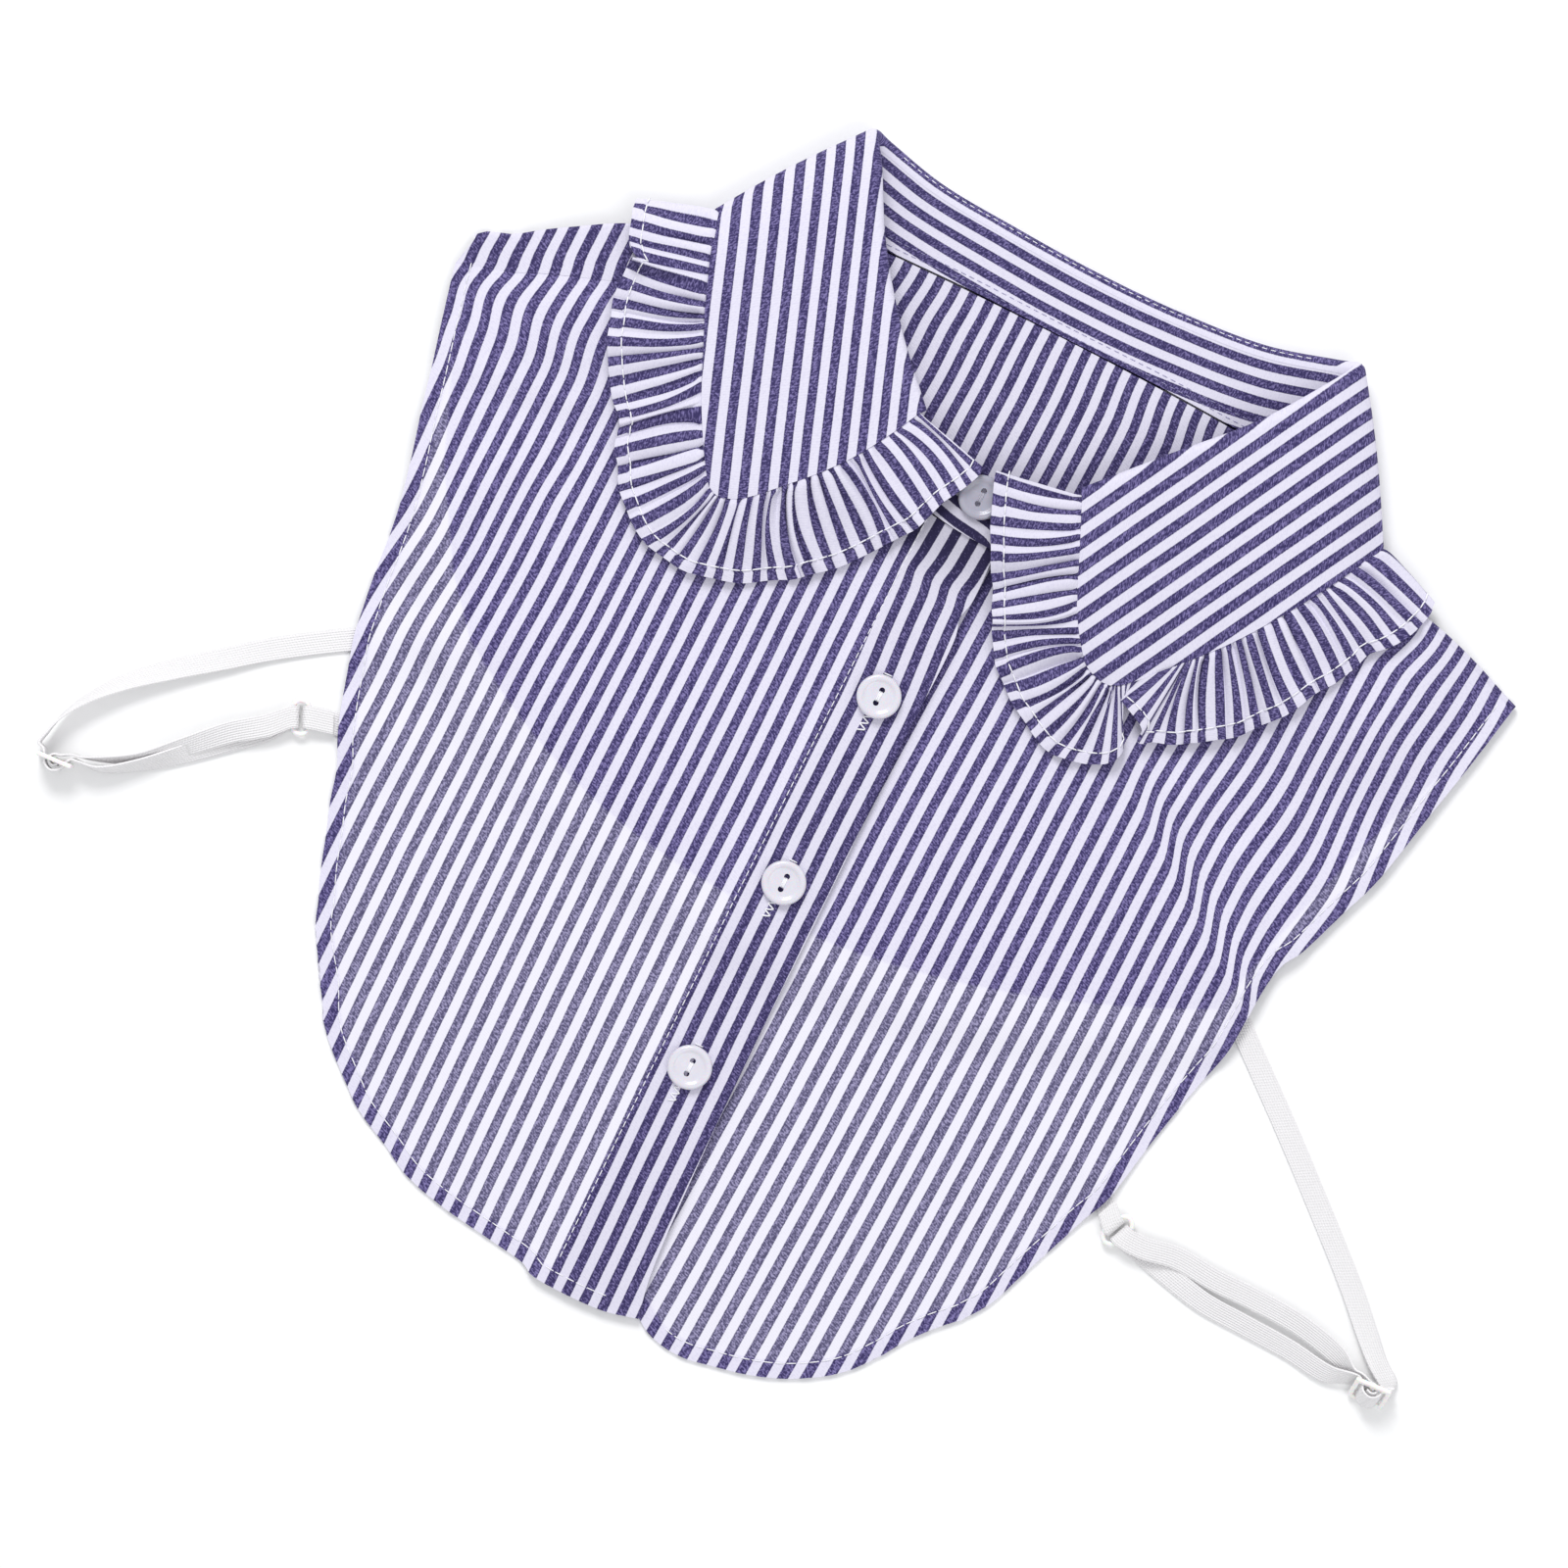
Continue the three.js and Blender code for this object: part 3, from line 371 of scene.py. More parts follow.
def effect_group(name, inputs, outputs):
    """A shader node group with named inputs and outputs, and its tree to fill."""
    group = bpy.data.node_groups.new(name, "ShaderNodeTree")
    for label, kind, value in inputs:
        socket = group.interface.new_socket(label, in_out="INPUT", socket_type="NodeSocket" + kind)
        socket.default_value = value
    for label, kind in outputs:
        group.interface.new_socket(label, in_out="OUTPUT", socket_type="NodeSocket" + kind)
    given = group.nodes.new("NodeGroupInput").outputs
    out = group.nodes.new("NodeGroupOutput").inputs
    return group, Nodes(group), given, out


def striped_weave_group():
    """Yarn-dyed stripes in a fine twill, laid out by the cloth's own UVs, which are in metres."""
    group, n, given, out = effect_group(
        "striped_weave",
        [("Dark Yarn", "Color", (0.04, 0.031, 0.115, 1)),
         ("Light Yarn", "Color", (0.215, 0.182, 0.4, 1)),
         ("White", "Color", (0.745, 0.722, 0.845, 1)),
         ("Period", "Float", STRIPE_PERIOD), ("Blue Width", "Float", BLUE_WIDTH),
         ("Doubled", "Float", 1.0), ("Layers And Painted Shade", "Float", 0.0)],
        [("Color", "Color"), ("Roughness", "Float"), ("Height", "Float")],
    )
    place = n.new("SeparateXYZ", Vector=n.new("UVMap", {"uv_map": "cloth"}).outputs[0]).outputs
    u, v = (n.math("MULTIPLY", place[k], 1000.0) for k in range(2))
    drift = n.noise(n.join(n.math("MULTIPLY", u, 0.05), n.math("MULTIPLY", v, 0.03)))
    jitter = n.noise(n.join(n.math("MULTIPLY", u, 1.2), n.math("MULTIPLY", v, 2.6)))
    moved = n.math("ADD", u, n.math("MULTIPLY_ADD", drift, 0.5, n.math("MULTIPLY", jitter, 0.34)))
    turn = n.math("DIVIDE", n.math("SUBTRACT", moved, 0.42), given["Period"])
    off = n.math("SUBTRACT", n.math("FRACT", n.math("ADD", turn, 0.5)), 0.5)
    away = n.math("MULTIPLY", n.math("ABSOLUTE", off), given["Period"])
    edge = n.math("MULTIPLY", given["Blue Width"], 0.5)
    white_share = n.ramp(away, n.math("SUBTRACT", edge, 0.12), n.math("ADD", edge, 0.12))
    rim = n.ramp(away, n.math("SUBTRACT", edge, 0.6), edge)
    over, along = (n.math("MULTIPLY_ADD", v, up, n.math("MULTIPLY", u, side))
                   for up, side in ((0.94, 0.34), (-0.34, 0.94)))
    rib = n.math("SINE", n.math("MULTIPLY", over, 2 * math.pi / TWILL_RIB))
    streak = n.noise(n.join(n.math("MULTIPLY", over, 1.9), n.math("MULTIPLY", along, 1.1)))
    slub = n.noise(n.join(n.math("MULTIPLY", u, 0.8), n.math("MULTIPLY", v, 0.16)))
    fleck = n.math("MULTIPLY_ADD", streak, 5.4, n.math("MULTIPLY_ADD", rib, 0.18, -2.74))
    fleck_inside = n.math("SUBTRACT", fleck, n.math("MULTIPLY_ADD", rim, 0.38, 0.32))
    heather = n.math("MULTIPLY_ADD", slub, 1.4, fleck_inside)
    # The darkening for extra cloth layers and painted shade takes heather out of the blue and mixes in
    # black, less over the white.
    heather = n.math("SUBTRACT", heather, n.math("MULTIPLY", given["Layers And Painted Shade"], 0.15), clamp=True)
    blue = n.mix(heather, given["Dark Yarn"], given["Light Yarn"])
    greyed = n.new("HueSaturation", Saturation=1.3, Value=0.93, Color=given["White"]).outputs[0]
    white = n.mix(n.math("MULTIPLY_ADD", fleck, 0.6, 0.2, clamp=True), given["White"], greyed)
    dyed = n.mix(white_share, blue, white)
    shade = n.math("MULTIPLY", given["Layers And Painted Shade"], n.math("MULTIPLY_ADD", white_share, -0.05, 0.1))
    shaded = n.mix(shade, dyed, (0.0, 0.0, 0.0, 1))
    # Single cloth is mixed towards white: painted light from the pale floor shining up through it.
    paler = n.math("MULTIPLY_ADD", white_share, 0.22, n.math("MULTIPLY_ADD", heather, 0.11, 0.05))
    lit_through = n.mix(paler, dyed, (1.0, 1.0, 1.0, 1))
    n.feed(out["Color"], n.mix(given["Doubled"], lit_through, shaded))
    n.feed(out["Roughness"], n.math("MULTIPLY_ADD", streak, 0.2, 0.72))
    n.feed(out["Height"], n.math("MULTIPLY_ADD", streak, 1.2, n.math("MULTIPLY", rib, 0.25)))
    return group


weave_group = striped_weave_group()


def shirting(name, thick=0.0, masked=False):
    """Striped cotton. Masked cloth has vertex masks: doubled, and banded, which marks the button band and
    is 2 or more where shade is painted.
    """
    material, shader = plain_material(name, (0.6, 0.6, 0.7), 0.8)
    n = Nodes(material.node_tree)
    weave = n.new("Group", {"node_tree": weave_group})
    # thick darkens the whole cloth, for extra layers of cloth and as painted shade.
    weave.inputs["Layers And Painted Shade"].default_value = thick
    if masked:
        doubled, banded = (n.new("Attribute", {"attribute_name": mask}).outputs["Fac"]
                           for mask in ("doubled", "banded"))
        n.feed(weave.inputs["Doubled"], n.ramp(doubled, -0.6, 0.6))
        # banded above 1 is painted shade, added to the darkening of the band.
        shade = n.math("MAXIMUM", n.math("SUBTRACT", banded, 1.0), 0.0)
        n.feed(weave.inputs["Layers And Painted Shade"], n.math("ADD", n.ramp(banded, 0.2, 0.8), shade))
    bump = n.new("Bump", Strength=0.35, Distance=0.00012, Height=weave.outputs["Height"])
    n.feed(shader.inputs["Base Color"], weave.outputs["Color"])
    n.feed(shader.inputs["Roughness"], weave.outputs["Roughness"])
    n.feed(shader.inputs["Normal"], bump.outputs[0])
    shader.inputs["Sheen Weight"].default_value = 0.04
    shader.inputs["Sheen Roughness"].default_value = 0.5
    shader.inputs["Specular IOR Level"].default_value = 0.2
    return material


def shoulder_edge(side, share):
    """The fold at a shoulder: its place, the way out from it, its lower height and its radius."""
    line = SmoothLine(SHOULDERS[side])
    edge = line.at(share)
    run = line.at(np.minimum(share + 0.01, 1)) - line.at(np.maximum(share - 0.01, 0))
    run /= np.linalg.norm(run, axis=-1, keepdims=True)
    out = np.stack([np.abs(run[:, 1]) * side, np.abs(run[:, 0])], -1)
    low = back_height(*edge.T)
    radius = (front_height(*edge.T) - fold_height(*edge.T) - low) / 2
    return edge, out, low, radius


SHOULDER_COLUMNS, NECK_COLUMNS, BACK_ROWS, TURN_ROWS, WRAP_ROWS = 24, 44, 66, 8, 6
share = np.linspace(0, 1, SHOULDER_COLUMNS + 1)
sides = {}
for side in (-1, 1):
    edge, out, low, radius = shoulder_edge(side, share)
    seam = SmoothLine(SEAMS[side]).at(share)
    rows = []
    for turn in np.linspace(0, math.pi, TURN_ROWS + 1)[1:]:
        reach = radius * (math.sin(turn) - 1)
        rows.append(np.column_stack([edge + out * reach[:, None], low + radius * (1 - math.cos(turn))]))
    turned = rows[-1][:, :2]
    for k in range(1, WRAP_ROWS + 1):
        flat = turned + (seam - turned) * k / WRAP_ROWS
        rows.append(np.column_stack([flat, front_height(*flat.T)]))
    sides[side] = (edge - out * radius[:, None], np.stack(rows, 1))
(left_top, left_wrap), (right_top, right_wrap) = sides[-1], sides[1]
neck_share = np.linspace(0, 1, NECK_COLUMNS + 1)
neck_x = left_top[0, 0] + (right_top[0, 0] - left_top[0, 0]) * neck_share
neck_y = left_top[0, 1] + (BACK_NECK - left_top[0, 1]) * np.sin(np.pi * neck_share) ** 0.3
top = np.vstack([left_top[::-1], np.column_stack([neck_x, neck_y])[1:-1], right_top])
hem_x = np.linspace(BACK_CORNERS[-1][0], BACK_CORNERS[1][0], len(top))
body_share = np.linspace(0, 1, BACK_ROWS + 1)
edges = []
for side, end in ((-1, top[0]), (1, top[-1])):
    line = SmoothLine(BACK_SIDES[side]).at(body_share)
    edges.append(line + (end - line) * ease(0.8, 1, body_share)[:, None])
hem = np.column_stack([hem_x, back_hem(hem_x)])
flat = patch(hem, top, *edges, np.linspace(0, 1, len(top)), body_share)
body = np.concatenate([flat, back_height(flat[..., 0], flat[..., 1])[..., None]], -1)
wrap = np.full((len(top), TURN_ROWS + WRAP_ROWS, 3), np.nan)
wrap[:SHOULDER_COLUMNS + 1] = left_wrap[::-1]
wrap[-SHOULDER_COLUMNS - 1:] = right_wrap
grid = np.concatenate([body, wrap], 1)
present = np.ones((grid.shape[0] - 1, grid.shape[1] - 1), bool)
present[SHOULDER_COLUMNS:-SHOULDER_COLUMNS, BACK_ROWS:] = False
from_hem = over_back_distance(grid[..., 0], grid[..., 1])
hemmed = np.nan_to_num(1 - ease(3.6, 4.6, from_hem), nan=0.0)
hemmed[:, BACK_ROWS + 1:] = 0
x, y = np.nan_to_num(grid[..., 0]), np.nan_to_num(grid[..., 1])
turned_over = np.arange(grid.shape[1]) > BACK_ROWS
inside = (x + 2) * (1.046 + 0.033 * ease(148, 160, y)) + 0.5 * ripple(x, y, 22, 17)
wrapped_left = left_stripes(x, y) - SEAM_PULL * swell(0, 3.5, above_left_seam(x, y))
wrapped = np.where(x < 0, wrapped_left, right_stripes(x, y))
pattern = np.stack([np.where(turned_over, wrapped, inside), y + 300 * turned_over], -1)
# The back is darkened all over by 1.1 as painted shade: it is seen mostly in the hollow inside the neck.
back_cloth = shirting("back_shirting", 1.1)
back = cloth_mesh("back", grid, pattern, CLOTH + HEM_EXTRA * hemmed, present)
back.data.materials.append(back_cloth)
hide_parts("back_panel")
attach(back, "root")

# The front that is laid underneath: the same shirting, cut with the stripes upright, with a narrow
# hem turned twice and topstitched in white round its curved lower edge and its side.
HEM_WIDTH = 5.0
UNDER_CENTRE = [(-9, -119), (-9, 0), (-9, 104.8)]
UNDER_HEM = [(-9, -119), (10, -119), (16.5, -119.8), (22, -123), (28, -124.6), (34, -124.7),
             (40, -123.5), (50, -121.2), (60, -117.5), (70, -111.5), (75, -107), (80, -100.5),
             (85, -93), (90, -87), (95, -82)]
UNDER_SIDE = [(95, -82), (100, -74.5), (104, -64), (109, -51), (112, -43), (115, -36), (116.6, -28),
              (118.2, -19), (120.7, -6.7), (123.5, 5), (125.4, 13), (126, 22), (126.3, 32),
              (128, 40.8), (131, 46), (136, 60), (140, 71), (142.5, 82), (145, 95), (148, 109),
              (151.6, 128.6)]
STRAND = 0.16  # radius of the sewing thread
HEM_STITCH = (3.1, 2.8)  # pitch and length
FRONT_ROWS = 118


def outline(hem, side):
    """The sewn edge of a front, from its centre to its shoulder, with the way in from it."""
    along_hem = SmoothLine(hem).at(np.linspace(0, 1, 160))
    along_side = SmoothLine(side).at(np.linspace(0, 1, 200))
    points = np.vstack([along_hem, along_side[1:]])
    run = np.gradient(points, axis=0)
    for _ in range(6):
        run[1:-1] = (run[:-2] + 2 * run[1:-1] + run[2:]) / 4
    run /= np.linalg.norm(run, axis=1, keepdims=True)
    across = np.column_stack([-run[:, 1], run[:, 0]])
    if side[-1][0] < 0:
        across = -across
    return points, across


def distance_to(points, x, y):
    place = np.stack([np.ravel(x), np.ravel(y)], -1)
    starts, steps = points[:-1], np.diff(points, axis=0)
    best = np.full(len(place), 1e9)
    for start, step in zip(starts, steps):
        along = np.clip(((place - start) @ step) / (step @ step), 0, 1)
        best = np.minimum(best, np.linalg.norm(place - start - along[:, None] * step, axis=1))
    return best.reshape(np.shape(x))


def front_grid(centre, hem, side, seam, columns, rows):
    """Flat points of a half front, closer together near its hem and its side."""
    across = np.concatenate([np.linspace(0, 0.93, columns), np.linspace(0.93, 1, 9)[1:]])
    up = np.concatenate([np.linspace(0, 0.035, 7), np.linspace(0.035, 1, rows)[1:]])
    seam_line = SmoothLine(seam)
    neck_to = seam[0][0]
    x = centre[-1][0] + (neck_to - centre[-1][0]) * 2 * across
    short = ease(0.25, 0.5, across) * (seam[0][1] - neckline(neck_to))
    on_neck = np.column_stack([x, neckline(x) + short])
    top = np.where((across > 0.5)[:, None], seam_line.at(np.clip(2 * across - 1, 0, 1)), on_neck)
    lines = SmoothLine(hem).at(across), top, SmoothLine(centre).at(up), SmoothLine(side).at(up)
    flat = patch(*lines, across, up)
    return flat[::-1] if flat[0, 0, 0] > flat[-1, 0, 0] else flat


def stitch_mesh(name, rows, pitch, length, radius, material):
    """Stitches along lines of points, each a short strand that dips in at both ends."""
    rings = [(-0.5, 0.15, -1.4), (-0.38, 0.9, 0.0), (0.0, 1.0, 0.35), (0.38, 0.9, 0.0),
             (0.5, 0.15, -1.4)]
    angles = np.arange(6) * math.pi / 3
    vertices, faces = [], []
    for row in rows:
        points = np.asarray(row, float)
        gaps = np.linalg.norm(np.diff(points, axis=0), axis=1)
        travelled = np.concatenate([[0], np.cumsum(gaps)])
        for middle in np.arange(pitch / 2, travelled[-1], pitch):
            start, centre, stop = (
                np.array([np.interp(middle + k * length / 2, travelled, c) for c in points.T])
                for k in (-1, 0, 1))
            run = (stop - start) / max(np.linalg.norm(stop - start), 1e-6)
            across = np.array([-run[1], run[0], 0]) / max(np.hypot(run[0], run[1]), 1e-6)
            up = np.cross(run, across)
            first = len(vertices)
            for place, wide, lift in rings:
                core = centre + run * place * length + up * radius * lift
                vertices += [core + radius * wide * (across * math.cos(a) + up * math.sin(a))
                             for a in angles]
            for ring in range(4):
                for k in range(6):
                    a, b = first + ring * 6 + k, first + ring * 6 + (k + 1) % 6
                    faces.append((a, b, b + 6, a + 6))
            faces.append(tuple(first + k for k in reversed(range(6))))
            faces.append(tuple(first + 24 + k for k in range(6)))
    mesh = bpy.data.meshes.new(name)
    mesh.from_pydata((np.array(vertices) * MM).tolist(), [], faces)
    mesh.shade_smooth()
    mesh.materials.append(material)
    piece = bpy.data.objects.new(name, mesh)
    bpy.context.scene.collection.objects.link(piece)
    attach(piece, "root")
    return piece


def thread_material(name, dark, pale):
    material, shader = plain_material(name, pale, 0.6)
    n = Nodes(material.node_tree)
    place = n.new("TexCoord").outputs["Object"]
    wave = n.new("TexWave", {"bands_direction": "DIAGONAL"}, Vector=place, Scale=900.0, Distortion=1.0)
    plies = wave.outputs["Fac"]
    n.feed(shader.inputs["Base Color"], n.mix(plies, (*dark, 1), (*pale, 1)))
    bump = n.new("Bump", Strength=0.3, Distance=0.0001, Height=plies)
    n.feed(shader.inputs["Normal"], bump.outputs[0])
    return material


thread = thread_material("sewing_thread", (0.84, 0.83, 0.9), (0.97, 0.97, 0.99))


def pucker(x, y, hemmed, seed):
    return 0.22 * hemmed * ripple(x, y, 3.2, seed) + 0.35 * ripple(x, y, 26, seed + 4)


def neck_shade(x, y):
    """Deeper painted shade on the cloth between the two ends of the collar, where the frill's ends stand
    over it.
    """
    return 4.5 * ease(86, 101, y) * (1 - ease(12, 20, np.abs(x)))


def hem_stitch_line(points, inward, height, seed):
    x, y = (points + inward * (HEM_WIDTH - 0.9)).T
    surface = height(x, y) + pucker(x, y, 1, seed)
    return np.column_stack([x, y, surface + (CLOTH + HEM_EXTRA) / 2 + 0.1])


points, inward = outline(UNDER_HEM, UNDER_SIDE)
flat = front_grid(UNDER_CENTRE, UNDER_HEM, UNDER_SIDE, SEAMS[1], 74, FRONT_ROWS)
x, y = flat[..., 0], flat[..., 1]
from_edge = distance_to(points, x, y)
hemmed = 1 - ease(HEM_WIDTH - 1.2, HEM_WIDTH, from_edge)
grid = np.stack([x, y, front_height(x, y) + pucker(x, y, hemmed, 4)], -1)
doubled = np.maximum(over_back_distance(x, y), HEM_WIDTH - 0.4 - from_edge)
pattern = np.stack([right_stripes(x, y), y], -1)
front_cloth = shirting("front_shirting", masked=True)
# Its banded mask holds only painted shade, between the collar's ends.
front_under = cloth_mesh("front_laid_under", grid, pattern, CLOTH + HEM_EXTRA * hemmed,
                         masks={"doubled": doubled, "banded": neck_shade(x, y)})
front_under.data.materials.append(front_cloth)
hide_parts("front_under")
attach(front_under, "root")
seen_hem = hem_stitch_line(points, inward, front_height, 4)[45:]
stitch_mesh("hem_stitches_right", [seen_hem], *HEM_STITCH, STRAND, thread)

# The front that laps over: its centre edge is folded back into a button band, three cloths deep and
# topstitched along its inner edge, with upright buttonholes worked in white zigzag.
BAND_EXTRA = 0.5  # what the folded band adds to the cloth's thickness
OVER_CENTRE = [(18.2, -120.8), (16, -110), (14.4, -90), (12.9, -50), (12.1, 0), (11.2, 45), (10.9, 79),
               (9.6, 84), (10.6, 88.5), (10, 104.8)]
OVER_HEM = [(18.2, -120.8), (10, -123), (0, -123.8), (-13, -123.2), (-15, -121.9), (-26, -120.2),
            (-42, -118), (-54, -115), (-63, -110.3), (-73.7, -105), (-80, -100), (-91, -90),
            (-97, -79.5)]
OVER_SIDE = [(-97, -79.5), (-105.4, -67.5), (-108.3, -60), (-111.7, -51.7), (-114.6, -43),
             (-117.5, -35), (-119.8, -26.7), (-123.8, -18.3), (-126.7, -10), (-129.2, -1.7),
             (-131.7, 6.7), (-133, 15), (-134.2, 23), (-135, 31.7), (-136.4, 42), (-139.6, 56),
             (-142.9, 68), (-145.8, 80), (-149.2, 93), (-151.7, 103), (-152.6, 107)]


def top_height(x, y):
    return front_height(x, y) + LAYER * ease(-18, -10.5, x) * (1 - ease(19, 26, x))


def band_edge(y):
    return np.interp(y, [-120, -60, -10, 80, 110], [-7.8, -9, -9.8, -10.3, -10.3])


points, inward = outline(OVER_HEM, OVER_SIDE)
flat = front_grid(OVER_CENTRE, OVER_HEM, OVER_SIDE, SEAMS[-1], 82, FRONT_ROWS)
x, y = flat[..., 0], flat[..., 1]
from_edge = distance_to(points, x, y)
hemmed = 1 - ease(HEM_WIDTH - 1.2, HEM_WIDTH, from_edge)
past_edge = x - band_edge(y)
banded = ease(-1.2, 0, past_edge)
pinch = 0.25 * swell(0.1, 0.5, past_edge)
grid = np.stack([x, y, top_height(x, y) + pucker(x, y, hemmed, 5) - pinch], -1)
doubled = np.maximum(over_back_distance(x, y), HEM_WIDTH - 0.4 - from_edge)
doubled = np.maximum(doubled, past_edge + 0.5)
band_pull = (0.3 * ease(15, 0, y) + 2.7 * (np.maximum(-y, 0) / 115) ** 1.2 - 1.9 * ease(50, 86, y)
             - 0.9 * swell(90, 3.5, y) + 0.4 * ease(95, 105, y))
in_band = ease(-12, -8, x)
pulled = left_stripes(x, y) - SEAM_PULL * swell(0, 4.5, above_left_seam(x, y)) * ease(-95, -105, x)
band_stripes = (x + 5.1 - band_pull) * 1.01 + 2 * STRIPE_PERIOD
pattern = np.stack([pulled * (1 - in_band) + band_stripes * in_band, y], -1)
thickness = CLOTH + np.maximum(HEM_EXTRA * hemmed, BAND_EXTRA * banded)
# banded: the button band's edge, plus painted shade between the collar's ends.
masks = {"doubled": doubled, "banded": ease(-0.3, 0.3, past_edge) + neck_shade(x, y)}
front_over = cloth_mesh("front_laid_over", grid, pattern, thickness, masks=masks)
front_over.data.materials.append(front_cloth)
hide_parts("front_over")
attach(front_over, "root")
band_y = np.linspace(-116, 108, 150)
band_x = band_edge(band_y) + 0.1
band_z = top_height(band_x, band_y) + pucker(band_x, band_y, 0, 5) + (CLOTH + BAND_EXTRA) / 2 - 0.1
band_line = np.column_stack([band_x, band_y, band_z])
seen_hem = hem_stitch_line(points, inward, top_height, 5)[12:]
stitch_mesh("hem_stitches_left", [seen_hem], *HEM_STITCH, STRAND, thread)
stitch_mesh("band_stitches", [band_line], 2.4, 2.0, STRAND * 0.9, thread)

# The collar stand: a straight double band of the shirting with its stripes running round the neck.
# It is sewn to the neckline, and its two ends lap over each other at the front under a button.
ROLL = 1.5  # radius of the leaf's turn over the stand
LEAF_TURN_IN = 1.5
STAND_WALL = 0.9
SPAN_STEPS = 9  # steps between two rows of the collar's table
END_STEPS = 20  # steps along each lapped end
FINE_STITCH = (2.4, 1.7)  # pitch and length
# foldX foldY foldZ lean seamX seamY seamZ neckX neckY neckZ, from the left front round the back
COLLAR = np.array([
    [-24.5, 127, 14, 90, -62, 83.5, 9, -26, 110, 10.7],
    [-40, 143, 14, 90, -75, 97, 9.6, -44, 119.8, 10.9],
    [-54.5, 162, 13, 88, -85, 121, 10.8, -61, 133.8, 10.2],
    [-64.5, 179.5, 11.4, 70, -93.5, 141.5, 10.6, -76.5, 150.4, 8.8],
    [-69, 187, 8.3, 0, -97.5, 150.5, 6.5, -84.6, 159.6, 7],
    [-65, 186.3, 5.4, -70, -91, 149, 2.6, -79, 161.8, 5.2],
    [-48, 182.6, 3.6, -88, -66, 143, 1.6, -56, 161.9, 4.6],
    [-24, 181, 3.5, -90, -32, 138.5, 1.4, -28, 162.7, 5],
    [0, 180.2, 3.5, -90, 0, 137, 1.4, 0, 162.7, 5],
    [24, 180.8, 3.5, -90, 32, 138.5, 1.4, 28, 162.7, 5],
    [50, 183.5, 3.6, -88, 67, 143, 1.6, 56, 161.9, 4.6],
    [69, 188.8, 5.4, -70, 93, 150, 2.6, 79, 161.8, 5.2],
    [73.8, 190, 8.3, 0, 101, 151.5, 6.5, 84.6, 159.6, 7],
    [68.5, 180.5, 11.4, 70, 95.5, 141, 10.6, 76.5, 150.4, 8.8],
    [57, 164, 13, 88, 84, 121, 10.8, 61, 133.8, 10.2],
    [41, 146.5, 14, 90, 68, 100, 9.6, 44, 119.8, 10.9],
    [23.5, 127, 14, 90, 51, 85.3, 9, 26, 110, 10.7],
])
# the lapped ends: crownX crownY crownZ footX footY footZ
STAND_OVER_END = [[11, 116.5, 12.6, 11, 103.6, 12.2], [6, 119.5, 12.5, 6, 103.6, 12.3],
                  [-4, 121, 12.5, -4, 104.2, 12.3], [-14, 123.6, 12.5, -14, 106, 11.4]]
STAND_UNDER_END = [[14, 123.6, 10.9, 14, 106.4, 10.2], [4, 121, 10.6, 4, 104.8, 10.2],
                   [-6, 119.5, 10.6, -6, 105, 10.2], [-11, 116.5, 10.6, -11, 105.6, 10.2]]
COLLAR_SPANS = len(COLLAR) - 1


def smooth_column(values, share):
    """A number that changes smoothly along evenly spaced rows."""
    rows = np.column_stack([np.arange(len(values)) * 10.0, values])
    return SmoothLine(rows).row(share)[..., 1]


def lean_normal(run, lean, x):
    side = np.where(x < 0, 1, -1)[..., None]
    out = np.stack([run[..., 1], -run[..., 0], 0 * x], -1) * side
    out /= np.linalg.norm(out, axis=-1, keepdims=True)
    turn = np.radians(lean)[..., None]
    return out * np.cos(turn) + np.array([0, 0, 1]) * np.sin(turn)


def roll_frame(share):
    """The middle of the roll, its seam, the way down to it and the way out of it, along the collar."""
    fold = SmoothLine(COLLAR[:, 0:3]).row(share)
    seam = SmoothLine(COLLAR[:, 4:7]).row(share)
    down = (seam - fold) * (1, 1, 0)
    down /= np.linalg.norm(down, axis=-1, keepdims=True)
    return fold, seam, down, lean_normal(down, smooth_column(COLLAR[:, 3], share), fold[:, 0])


collar_share = np.linspace(0, 1, COLLAR_SPANS * SPAN_STEPS + 1)
fold, seam, down, out = roll_frame(collar_share)
stand_top = fold - out * ROLL + down * 0.3
neck = SmoothLine(COLLAR[:, 7:10]).row(collar_share)
ends = [SmoothLine(rows).row(np.linspace(0, 1, END_STEPS)) for rows in (STAND_OVER_END, STAND_UNDER_END)]
foot = np.vstack([ends[0][:, 3:], neck, ends[1][:, 3:]])
crown = np.vstack([ends[0][:, :3], stand_top, ends[1][:, :3]])
up = np.linspace(0, 1, 15)
grid = foot[:, None] * (1 - up[:, None]) + crown[:, None] * up[:, None]
wide = np.linalg.norm(crown - foot, axis=1)
middle = (foot + crown) / 2
travel = np.concatenate([[0], np.cumsum(np.linalg.norm(np.diff(middle, axis=0), axis=1))])
below_leaf = (1 - up[None]) * wide[:, None] + 0.3 - LEAF_TURN_IN
from_end = np.minimum(np.arange(len(foot)), np.arange(len(foot))[::-1])
at_front = (1 - ease(END_STEPS, END_STEPS + 14, from_end))[:, None] + 0 * up[None]
travel = travel[:, None] + 0 * up[None]
pattern = np.stack([3.1 + 1.1 * below_leaf + 2.4 * at_front, travel], -1)
grid[..., 2] += 0.25 * ripple(travel, 9 * up + 0 * travel, 14, 3) * np.sin(np.pi * up)
